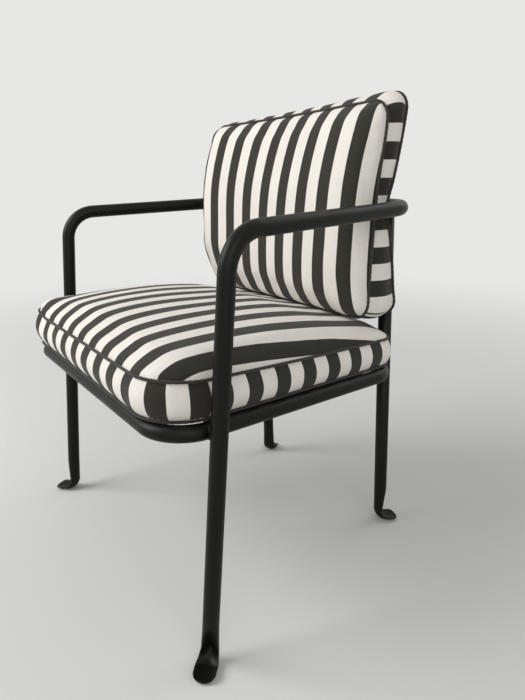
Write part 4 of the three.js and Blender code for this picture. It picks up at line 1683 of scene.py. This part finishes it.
    def flat_cut(self, grid: Array) -> Array:
        """Lays a panel's cloth flat, which is longer than the panel where it rises steeply.

        Args:
            grid: The panel's points.

        Returns:
            Places across and along the stripes.
        """
        wide = np.linalg.norm(np.diff(grid, axis=0), axis=2)
        level = np.hypot(*(np.diff(grid[..., k], axis=0) for k in self.level_axes()))
        extra = np.concatenate([np.zeros((1, grid.shape[1])), np.cumsum(wide - level, axis=0)])
        extra -= extra[grid.shape[0] // 2][None]
        across = grid[..., self.level_axes()[0]] + extra + self.panel_shift
        return np.stack([across, grid[..., self.level_axes()[1]]], -1)

    def level_axes(self) -> tuple[int, int]:
        """Axes that run across and along the panels."""
        raise NotImplementedError

    def border_height(self) -> float:
        """Cut height of the border."""
        raise NotImplementedError

    def off_zip(self, rim_at: Array) -> Array:
        """Share of free cloth round the rim, 0 along the zip's side."""
        start, end = (self.outline().marks[k] for k in self.zip_run)
        return 1 - eased((rim_at - start) / self.zip_ends) * eased((end - rim_at) / self.zip_ends)

    def held(self, points: int, total: int, walk: list[int], rim_at: Array) -> Array:
        """Where the cloth is held while the cushion fills.

        Args:
            points: Points in the whole skin.
            total: Points in one panel.
            walk: Rim points in order.
            rim_at: Their distances along the outline.

        Returns:
            A number for each point: 1 in the seams, on the inner panel and beside the zip, else 0.
        """
        held = np.zeros(points)
        held[walk] = 1
        held[total : 2 * total] = 1
        held[2 * total :] = np.tile(self.off_zip(rim_at) < 0.5, self.border_rows - 1)
        return held

    def pucker(self, piece: Piece, u: Array, v: Array, rim_at: Array) -> None:
        """Gathers the cloth a little at the seams and leaves its faces slightly uneven.

        Args:
            piece: The cover.
            u: Across, from -1 to 1.
            v: Along, from -1 to 1.
            rim_at: Distances of the rim's points along the outline.
        """
        mesh = piece.data
        total = len(u)
        places = np.array([p.co[:] for p in mesh.vertices]) / MM
        normals = np.array([p.normal[:] for p in mesh.vertices])
        x, y = (places[:total, axis] for axis in self.level_axes())
        from_side, from_end = (1 - np.abs(u)) * np.ptp(x) / 2, (1 - np.abs(v)) * np.ptp(y) / 2
        edge = np.minimum(from_side, from_end)
        wave = self.gathers(np.where(from_side < from_end, y, x))
        gather = self.gather_depth * wave * np.exp(-edge / self.gather_reach)
        gather = gather * np.minimum(edge / self.gather_from, 1)
        wide, drift, long = self.swell_waves
        uneven = np.sin(x / wide + self.swell_drift * np.sin(y / drift)) * np.sin(y / long + self.swell_phase)
        uneven = uneven * np.minimum(edge / self.swell_from, 1)
        places[:total] += normals[:total] * (gather + self.swell_depth * uneven)[:, None]
        share = (np.arange(1, self.border_rows) / self.border_rows)[:, None]
        free = self.border_gather * self.gathers(rim_at) * self.off_zip(rim_at)
        drawn = free * np.abs(np.cos(math.pi * share)) ** 2 * np.minimum(6 * share * (1 - share), 1)
        for start in self.strip_starts()[1 if self.runs_on else 0 :]:
            seam = rim_at[np.argmin(np.abs(rim_at - start))]
            drawn = drawn - self.seam_depth * np.exp(-(((rim_at - seam) / self.seam_half) ** 2))
        places[2 * total :] += normals[2 * total :] * drawn.reshape(-1, 1)
        mesh.vertices.foreach_set("co", (places * MM).ravel())
        mesh.update()

    def gathers(self, along: Array) -> Array:
        """Makes uneven waves of gathered cloth.

        Args:
            along: Distances along a seam.

        Returns:
            Heights from about -1 to 1.
        """
        wave = 0 * along
        for length, phase, share in self.gather_waves:
            wave = wave + share * np.sin(along * 2 * math.pi / length + phase)
        return wave * (1 - self.lull + self.lull * np.sin(along * 2 * math.pi / self.lull_wave))

    def smooth(self, piece: Piece) -> None:
        """One subdivision over the sewn skin."""
        finer = piece.modifiers.new("finer", "SUBSURF")
        finer.levels = finer.render_levels = 1

    def seam_line(self, face: Face, distance: Array) -> Array:
        """Draws the piping's centre line beside a seam.

        Args:
            face: The panel whose seam it is.
            distance: Distances along the outline.

        Returns:
            Places.
        """
        flat, out = self.outline().at(distance)
        share = 1.0 if face is Face.OUTER else 0.0
        lift = self.piping_lift - self.cord_sink
        stand = flat + out * lift * self.lean[0]
        seam = self.border(stand, out, np.full(len(distance), share))
        return seam + self.seam_lift(face) * lift * self.lean[1]

    def cord(self, face: Face, solid: str) -> None:
        """Twists the piping in one seam.

        Args:
            face: The panel whose seam it is.
            solid: The plain solid that it stands for.
        """
        total, sides = self.outline().marks[-1], self.cord_sides
        count = int(total / self.cord_step)
        route = Route.loop(self.seam_line(face, total * np.arange(count) / count))
        side, depth = route.frames(self.seam_lift(face))
        turn = around(sides)[None]
        twist = 2 * math.pi * round(total / self.cord_lay) * np.arange(count) / count
        lobes = 1 - self.strand_depth * np.abs(np.sin(turn - twist[:, None] / 2))
        reach = (self.piping + self.cord_fluff) * lobes
        spokes = np.cos(turn)[..., None] * side[:, None] + np.sin(turn)[..., None] * depth[:, None]
        rings = route.points[:, None] + reach[..., None] * spokes
        piece = loft(f"{solid}_cord", rings, closed=True)
        corners = []
        for index in range(count * sides):
            ring, step = divmod(index, sides)
            low, high = ring * total / count * MM, (ring + 1) * total / count * MM
            left, right = step / sides, (step + 1) / sides
            corners += [(left, low), (right, low), (right, high), (left, high)]
        write_uv(piece, np.array(corners))
        fixed(dress(piece, self.finishes.cord, "piping_cord", solid))


@dataclass
class SeatCushion(BoxedCushion):
    """The seat cushion, which lies on the ring and the sling."""

    name: str = "seat_cushion"
    outer_piping: str = "seat_top_piping"
    inner_piping: str = "seat_bottom_piping"
    gap: float = 0.3
    front_overhang: float = 7.0
    side_inset: float = 4.0
    height: float = 55.0
    settle: float = 9.5
    bulge_front: float = 11.0
    bulge_rear: float = 8.0
    rise: float = 44.0
    free_rise: float = 54.0
    free_tilt: float = 6.0
    free_powers: Pair = (3.4, 2.1)
    free_fullness: Pair = (0.27, 0.43)
    free_from: float = 305.0
    free_run: float = 80.0
    corner_front: float = 72.0
    corner_right: float = 45.0
    right_lift: float = 9.0
    right_reach: Pair = (20.0, 90.0)
    corner_rear: float = 32.0
    panel_shift: float = 8.0
    strips: tuple[tuple[int, float, float], ...] = (
        (0, 0.0, 19.2),
        (1, 85.0, 38.2),
        (2, 0.0, 4.2),
        (3, 0.0, 0.0),
    )
    runs_on: bool = True
    zip_run: tuple[int, int] = (2, 3)
    sling_drop: float = 5.0
    sling_half: float = 0.45
    sag_from: float = 0.78
    sag_run: float = 0.4

    @property
    def front(self) -> float:
        """Where the front seam lies."""
        return self.sizes.ring_front_y - self.front_overhang

    @property
    def bottom_seam(self) -> float:
        """Height of the bottom seam over the ring's centre line."""
        return self.sizes.tube + self.gap + self.piping + self.piping_lift * self.lean[1]

    def depth_share(self, y: Array) -> Array:
        """Share of the way from the front seam to the rear seam."""
        return np.clip((y - self.front) / (self.sizes.ring_rear_y - self.front), 0, 1)

    def top_seam(self, y: Array) -> Array:
        """Height of the top seam over the ring's centre line."""
        return self.bottom_seam + self.height - self.settle * (1 - (1 - self.depth_share(y)) ** 2)

    def corner_lift(self, flat: Array) -> Array:
        """Lifts the top seam at the sitter's right front corner.

        Args:
            flat: Flat places.

        Returns:
            The lift at each of them.
        """
        corner = np.array([self.side_inset - float(self.sizes.ring_half(self.front)), self.front])
        near, far = self.right_reach
        away = np.linalg.norm(flat - corner, axis=-1)
        return self.right_lift * eased((far - away) / (far - near))

    def outline(self) -> Outline:
        """Draws the seams' outline, a rounded trapezoid.

        Returns:
            The outline, flat.
        """
        front, rear = self.front, self.sizes.ring_rear_y
        half = [float(self.sizes.ring_half(y)) - self.side_inset for y in (front, rear)]
        corners = [(-half[0], front), (half[0], front), (half[1], rear), (-half[1], rear)]
        radii = [self.corner_right, self.corner_front, self.corner_rear, self.corner_rear]
        return Outline.rounded(corners, radii)

    def level_axes(self) -> tuple[int, int]:
        """Stripes run front to back."""
        return 0, 1

    def border_height(self) -> float:
        """Cut height of the border."""
        return self.height

    def crowned(self, y: Array, u: Array, v: Array) -> Array:
        """Shapes the crown, fuller in front of the back cushion.

        Args:
            y: Places front to back.
            u: Across, from -1 to 1.
            v: Along, from -1 to 1.

        Returns:
            Height over the top seam.
        """
        across, free_along = (
            np.maximum(1 - np.abs(w) ** power, 0) ** fullness
            for w, power, fullness in zip((u, v), self.free_powers, self.free_fullness)
        )
        along = self.crown(0 * u, v)
        free = eased((self.free_from - y) / self.free_run)
        rise = mix(self.rise, self.free_rise - self.free_tilt * u, free)
        return rise * across * mix(along, free_along, free)

    def panel(self, flat: Array, u: Array, v: Array, face: Face) -> Array:
        """Shapes the crowned top, or the underside pressed on the ring and the sling.

        Args:
            flat: Flat places.
            u: Across, from -1 to 1.
            v: Along, from -1 to 1.
            face: Which panel.

        Returns:
            Places on the panel.
        """
        x, y = flat[..., 0], flat[..., 1]
        if face is Face.OUTER:
            lift = self.top_seam(y) + self.corner_lift(flat) + self.crowned(y, u, v)
        else:
            share = self.pressed(u, v)
            rest = self.sizes.tube + self.gap
            sag = rest - (self.sizes.tube - self.sling_drop + self.sling_half)
            dip = (self.bottom_seam - rest) * (1 - np.minimum(share, 1) ** self.pressed_power)
            lift = self.bottom_seam - (dip + sag * eased((self.sag_from - share) / self.sag_run))
        return self.sizes.at(x, y, self.sizes.ring_z(y) + lift)

    def border(self, flat: Array, out: Array, share: Array) -> Array:
        """Shapes the border, fullest halfway up.

        Args:
            flat: Flat places on the rim.
            out: Outward directions there.
            share: Shares of the way up, from 0 at the bottom seam to 1.

        Returns:
            Places on the border.
        """
        y = flat[..., 1]
        bulge = mix(self.bulge_front, self.bulge_rear, self.depth_share(y)) * 4 * share * (1 - share)
        spot = flat + out * bulge[..., None]
        lift = mix(self.bottom_seam, self.top_seam(y) + self.corner_lift(flat), share)
        return self.sizes.at(spot[..., 0], spot[..., 1], self.sizes.ring_z(spot[..., 1]) + lift)

    def seam_lift(self, face: Face) -> Array:
        """Up at the top seam and down at the bottom one."""
        return np.array([0.0, 0.0, 1.0 if face is Face.OUTER else -1.0])

    def surface(self, y: float) -> float:
        """Measures the top along the middle of the seat.

        Args:
            y: Where along Y.

        Returns:
            Its height.
        """
        middle = (self.front + self.sizes.ring_rear_y) / 2
        share = abs(y - middle) / ((self.sizes.ring_rear_y - self.front) / 2)
        crown = (1 - share**self.crown_power) ** self.crown_fullness
        return float(self.sizes.ring_z(y) + self.top_seam(np.array(y)) + self.rise * crown)


@dataclass
class BackCushion(BoxedCushion):
    """The back cushion, which stands on the seat and leans on the rail that pinches it."""

    name: str = "back_cushion"
    outer_piping: str = "back_front_piping"
    inner_piping: str = "back_rear_piping"
    foot: float = 0.0
    half: float = 240.0
    front_height: float = 354.0
    rear_height: float = 370.0
    corner: float = 30.0
    depth: float = 72.0
    pinch: float = 38.0
    rise: float = 45.0
    fullness: float = 0.4
    side_powers: Pair = (6.5, 16.0)
    end_powers: Pair = (4.4, 2.0)
    rear_power: float = 4.0
    stand_gap: float = 0.5
    rail_gap: float = 0.3
    bulge: float = 8.0
    pinched_bulge: float = 1.5
    pinch_reach: float = 45.0
    setback: float = 8.0
    front_shares: tuple[float, ...] = (0.97, 0.97, 0.94, 0.9, 0.86, 0.8, 0.7, 0.6, 0.56)
    seam_shares: tuple[float, ...] = (0.1, 0.34, 0.5, 0.72, 1, 0.66, 0.36, 0.12, -0.05)
    middle_shares: tuple[float, ...] = (-0.2, -0.3, -0.3, -0.2, 0.05, -0.7, -1.1, -1, -0.6)
    twist: Pair = (11.5, 25.0)
    twist_run: float = 0.3
    twist_power: float = 1.5
    twist_rear: float = 0.6
    twist_sideways: float = 7.5
    front_droop: float = 7.0
    rear_droop: float = 20.0
    panel_shift: float = 11.0
    strips: tuple[tuple[int, float, float], ...] = ((0, 0.0, 0.0), (1, 0.0, -9.5))
    zip_run: tuple[int, int] = (0, 1)

    @property
    def rail_face(self) -> float:
        """Where the rail's front lies."""
        return self.sizes.rail_end[1] - self.sizes.tube

    def stand_on(self, seat: SeatCushion) -> None:
        """Sets the cushion's foot on the seat's surface, with its piping between them."""
        front = self.rail_face - self.depth * self.front_shares[0]
        self.foot = seat.surface(front) + 2 * self.piping + self.piping_lift + self.stand_gap

    @property
    def rail_level(self) -> float:
        """Share of the cushion's height at which the rail lies."""
        return (self.sizes.rail_end[2] - self.foot) / self.rear_height

    def curve(self, shares: Sequence[float], height: Array) -> Array:
        """Draws a smooth curve through shares set out over the height, the middle one at the rail.

        Args:
            shares: The shares, from the bottom up.
            height: Places to find, from 0 at the bottom to 1.

        Returns:
            The curve's value at each place.
        """
        values = np.asarray(shares, float)
        rail = self.rail_level
        level = np.where(height < rail, height / rail / 2, 1 - (1 - height) / (1 - rail) / 2)
        reach = np.clip(level, 0, 1) * (len(values) - 1)
        start = np.minimum(np.floor(reach).astype(int), len(values) - 2)
        before, start_value, end_value, after = (
            values[np.clip(start + k, 0, len(values) - 1)] for k in (-1, 0, 1, 2)
        )
        t = reach - start
        pull, push = (end_value - before) / 2, (after - start_value) / 2
        cubic = 2 * (start_value - end_value) + pull + push
        square = 3 * (end_value - start_value) - 2 * pull - push
        return ((cubic * t + square) * t + pull) * t + start_value

    def outline(self) -> Outline:
        """The seams' outline, as X and height."""
        half, top = self.half, self.front_height
        return Outline.rounded([(-half, 0), (half, 0), (half, top), (-half, top)], [self.corner] * 4)

    def level_axes(self) -> tuple[int, int]:
        """Stripes run up and down."""
        return 0, 2

    def border_height(self) -> float:
        """Cut height of the border."""
        return self.depth

    def inner_lead(self, distance: Array) -> Array:
        """Measures the lead of the rear seam, which is the taller one.

        Args:
            distance: Distances along the outline.

        Returns:
            The lead at each of them.
        """
        flat, _ = self.outline().at(distance)
        more = self.rear_height - self.front_height
        return more * flat[:, 1] / self.front_height * flat[:, 0] / self.half

    def spot(self, flat: Array, forward: Array, crown: Array, pressed: Array) -> Array:
        """Places points between the rear face and the front face.

        Args:
            flat: Flat places.
            forward: 0 at the rear face to 1 at the front face.
            crown: Share of the front's crown.
            pressed: Share of the way from the rear's middle to its seam.

        Returns:
            Places on the cushion.
        """
        x, level = flat[..., 0], flat[..., 1] / self.front_height
        front = self.rail_face - self.depth * self.curve(self.front_shares, level) - self.rise * crown
        seam = self.rail_face - self.pinch * self.curve(self.seam_shares, level)
        middle = self.rail_face - self.rail_gap - self.setback * self.curve(self.middle_shares, level)
        rear = mix(middle, seam, pressed**self.rear_power)
        away = (1 - np.clip(x / self.half, -1, 1)) / 2
        twist = np.clip(-x / self.half, 0, 1) ** self.twist_power * eased(level / self.twist_run)
        y = mix(rear, front, forward) - twist * mix(*self.twist, level) * mix(self.twist_rear, 1, forward)
        droop = mix(self.rear_droop, self.front_droop, forward) * away * np.clip(level, 0, 1) ** 3
        height = mix(self.rear_height, self.front_height, forward)
        x = x - self.twist_sideways * twist * forward
        return self.sizes.at(x, y, self.foot + level * height - droop)

    def crown(self, u: Array, v: Array) -> Array:
        """Shapes the crown, squarest at the sitter's right end.

        Args:
            u: Across, from -1 to 1.
            v: Upward, from -1 to 1.

        Returns:
            Share of its height.
        """
        side = np.where(u > 0, self.side_powers[0], self.side_powers[1])
        end = np.where(v < 0, self.end_powers[0], self.end_powers[1])
        return np.maximum((1 - np.abs(u) ** side) * (1 - np.abs(v) ** end), 0) ** self.fullness

    def panel(self, flat: Array, u: Array, v: Array, face: Face) -> Array:
        """Shapes the crowned front, or the rear which the rail holds.

        Args:
            flat: Flat places.
            u: Across, from -1 to 1.
            v: Upward, from -1 to 1.
            face: Which panel.

        Returns:
            Places on the panel.
        """
        none, full = np.zeros(len(flat)), np.ones(len(flat))
        if face is Face.OUTER:
            return self.spot(flat, full, self.crown(u, v), full)
        return self.spot(flat, none, none, np.minimum(self.pressed(u, v), 1))

    def border(self, flat: Array, out: Array, share: Array) -> Array:
        """Shapes the border, drawn in at the rail.

        Args:
            flat: Flat places on the rim.
            out: Outward directions there.
            share: Shares of the way forward, from 0 at the rear seam to 1.

        Returns:
            Places on the border.
        """
        level = flat[..., 1] / self.front_height
        away = (level - self.rail_level) * self.rear_height / self.pinch_reach
        bulge = mix(self.bulge, self.pinched_bulge, np.exp(-(away**2))) * 4 * share * (1 - share)
        spot = flat + out * bulge[..., None]
        forward = np.broadcast_to(share, spot.shape[:-1])
        return self.spot(spot, forward, np.zeros(forward.shape), np.ones(forward.shape))

    def seam_lift(self, face: Face) -> Array:
        """Forward at the front seam and backward at the rear one."""
        return np.array([0.0, -1.0 if face is Face.OUTER else 1.0, 0.0])


# Zips


@dataclass
class Zip:
    """A coil zip sewn between two folds of a cushion's border."""

    cushion: BoxedCushion
    name: str
    share: float
    height: float
    length: float = 319.0
    tape_half: float = 4.3
    fold: float = 1.3
    pitch: float = 1.6
    coil: float = 0.45
    coil_half: float = 1.5
    coil_lift: float = 0.45
    coil_sway: float = 0.12
    coil_ends: float = 3.0
    coil_sides: int = 6
    turn_steps: int = 8
    cells: int = 160
    tape_points: int = 13
    tape_lift: float = 0.22
    fold_points: int = 9
    fold_lift: float = 1.1
    fold_gap: float = 0.2
    metal_edge: float = 0.25

    @property
    def middle(self) -> float:
        """Distance of the zip's middle along the cushion's outline."""
        start, end = (self.cushion.outline().marks[k] for k in self.cushion.zip_run)
        return (start + end) / 2

    def surface(self, along: Array, across: Array) -> tuple[Array, Array]:
        """Places on the border and its outward directions.

        Args:
            along: Distance from the zip's middle.
            across: Distance from the zip's centre line.

        Returns:
            Places and unit outward directions.
        """
        outline, middle = self.cushion.outline(), self.middle

        def at(a: Array, c: Array) -> Array:
            """Place on the border."""
            flat, out = outline.at(middle + a)
            return self.cushion.border(flat, out, self.share + c / self.height)

        forward = at(along + 1, across) - at(along - 1, across)
        up = at(along, across + 1) - at(along, across - 1)
        return at(along, across), unit(np.cross(forward, up))

    def strip(self, name: str, across: Array, lift: Array) -> Piece:
        """A strip of cloth along the border.

        Args:
            name: The piece's name.
            across: Distances of its section's points from the zip's centre line.
            lift: Their heights over the border.

        Returns:
            The new object.
        """
        along = np.linspace(-self.length / 2, self.length / 2, self.cells + 1)
        a, c = np.meshgrid(along, across, indexing="ij")
        place, out = self.surface(a.ravel(), c.ravel())
        points = place + out * np.broadcast_to(lift, a.shape).ravel()[:, None]
        faces = grid_faces(*a.shape)
        piece = make_mesh(name, points, faces)
        shift = float(self.cushion.strip_shift(np.array([self.middle]))[0])
        cloth = np.stack([self.middle + a.ravel() + shift, self.share * self.height + c.ravel()], -1)
        write_uv(piece, cloth[faces.ravel()] * MM)
        return piece

    def build(self) -> None:
        """Makes tape, folds and coil, and dresses slider and pull."""
        finishes = self.cushion.finishes
        across = np.linspace(-self.tape_half, self.tape_half, self.tape_points)
        tape = self.strip(f"{self.name}_zip_band", across, np.full(self.tape_points, self.tape_lift))
        fixed(dress(tape, finishes.tape, "zip_tape", f"{self.name}_zip_tape"))
        turn = np.linspace(0, math.pi, self.fold_points)
        for side, name in ((-1, "lower"), (1, "upper")):
            across = side * (self.tape_half + self.fold_gap) - np.cos(turn) * self.fold
            piece = self.strip(f"{self.name}_zip_fold_{name}", across, np.sin(turn) * self.fold_lift)
            fixed(dress(piece, finishes.cloth, "striped_cloth"))
        self.teeth()
        for part in ("slider", "pull"):
            carry_over(f"{self.name}_zip_{part}", finishes.metal, self.metal_edge)

    def teeth(self) -> None:
        """The two rows of the coil, closed."""
        half = self.length / 2 - self.coil_ends
        steps = np.arange(int(2 * half / self.pitch) * self.turn_steps + 1)
        along = -half + steps * self.pitch / self.turn_steps
        turn = steps * 2 * math.pi / self.turn_steps
        across = self.coil_half * np.sin(turn)
        place, out = self.surface(along, across)
        points = place + out * (self.coil_lift + self.coil_sway * np.cos(2 * turn))[:, None]
        tangents = unit(np.gradient(points, axis=0))
        rings = tube_rings(Route(points, tangents), self.coil, self.coil_sides, out[0])
        fixed(dress(loft(f"{self.name}_zip_coil", rings), self.cushion.finishes.nylon, "zip_tape"))


# Room, light and camera


@dataclass(frozen=True)
class Lamp:
    """A square soft lamp: its place and width in metres, and its power in watts."""

    name: str
    place: Place
    width: float
    power: float

    def hang(self, aim: Place) -> None:
        """Hangs the lamp so that it faces a place.

        Args:
            aim: The place.
        """
        data = bpy.data.lights.new(self.name, "AREA")
        data.shape = "SQUARE"
        data.size = self.width
        data.energy = self.power
        lamp = bpy.data.objects.new(self.name, data)
        lamp.rotation_euler = (Vector(aim) - Vector(self.place)).to_track_quat("-Z", "Y").to_euler()
        lamp.location = self.place
        bpy.context.scene.collection.objects.link(lamp)


@dataclass
class Studio:
    """A plain pale floor, soft lamps and the camera at the photograph's place."""

    camera_at: Place = (0.9247, -0.55081, 0.6875)
    right: Place = (0.57654, 0.81692, -0.01569)
    up: Place = (-0.22432, 0.17672, 0.95836)
    back: Place = (0.78567, -0.54901, 0.28514)
    lens: float = 29.415
    sensor: float = 36.0
    backdrop: Colour = (0.80, 0.80, 0.785)
    daylight: float = 0.43
    floor_sides: int = 96
    floor_radii: tuple[float, ...] = (0.6, 1.2, 2.0, 3.2, 5.0, 9.0, 30.0)
    aim: Place = (0.0, 0.0, 0.4)
    lamps: tuple[Lamp, ...] = (
        Lamp("key_lamp", (-1.3, -2.4, 2.3), 2.0, 84.0),
        Lamp("fill_lamp", (2.8, -1.2, 1.9), 2.6, 28.0),
        Lamp("rear_lamp", (0.4, 2.8, 2.6), 2.2, 17.0),
    )

    def build(self) -> None:
        """Makes camera, floor, world and lamps."""
        self.camera()
        self.floor()
        self.world()
        for lamp in self.lamps:
            lamp.hang(self.aim)
        bpy.context.scene.view_settings.view_transform = "Standard"

    def camera(self) -> None:
        """Sets the camera by its place and directions."""
        data = bpy.data.cameras.new("camera")
        data.sensor_width = self.sensor
        data.sensor_fit = "AUTO"
        data.lens = self.lens
        camera = bpy.data.objects.new("camera", data)
        turn = Matrix((self.right, self.up, self.back)).transposed().to_4x4()
        camera.matrix_world = Matrix.Translation(Vector(self.camera_at)) @ turn
        bpy.context.scene.collection.objects.link(camera)
        bpy.context.scene.camera = camera

    def floor(self) -> None:
        """A wide round floor."""
        sides, turn = self.floor_sides, around(self.floor_sides)
        points = [[0.0, 0.0, 0.0]]
        for radius in self.floor_radii:
            points += np.stack([radius * np.cos(turn), radius * np.sin(turn), 0 * turn], -1).tolist()
        faces = [(0, 1 + k, 1 + (k + 1) % sides) for k in range(sides)]
        for low, beside, across, high in ring_faces(len(self.floor_radii), sides, closed=False):
            faces.append((low + 1, high + 1, across + 1, beside + 1))
        piece = make_mesh("studio_floor", np.array(points) / MM, faces)
        piece.data.materials.append(PaleFloor(self.backdrop).make())
        LOG.info("made studio_floor")

    def world(self) -> None:
        """Even light from all round, with a pale backdrop behind the chair."""
        world = bpy.data.worlds.new("studio_world")
        world.use_nodes = True
        nodes = Nodes(world.node_tree)
        light, backdrop = nodes.node("Background"), nodes.node("Background")
        light.inputs["Color"].default_value = (1.0, 1.0, 1.0, 1.0)
        light.inputs["Strength"].default_value = self.daylight
        backdrop.inputs["Color"].default_value = (*self.backdrop, 1.0)
        seen = nodes.on_show()
        both = nodes.node("MixShader")
        for socket, value in zip(both.inputs, (seen, light.outputs[0], backdrop.outputs[0])):
            nodes.feed(socket, value)
        nodes.feed(nodes.node("OutputWorld").inputs["Surface"], both.outputs[0])
        bpy.context.scene.world = world


def main() -> None:
    """Builds the chair in order."""
    logging.basicConfig(level=logging.INFO, format="%(name)s: %(message)s", stream=sys.stdout)
    Studio().build()
    sizes, finishes = ChairSizes(), Finishes()
    TubeFrame(sizes, finishes).build()
    SlungSeat(sizes, finishes).build()
    seat = SeatCushion(sizes, finishes)
    seat.build(["seat_cushion_cover", "seat_cushion_core"])
    back = BackCushion(sizes, finishes)
    back.stand_on(seat)
    back.build(["back_cushion_cover", "back_cushion_core"])
    rear_height = float(seat.top_seam(np.array(sizes.ring_rear_y))) - seat.bottom_seam
    Zip(seat, "seat", share=0.5, height=rear_height).build()
    Zip(back, "back", share=0.3, height=64.0).build()


if __name__ == "__main__":
    main()
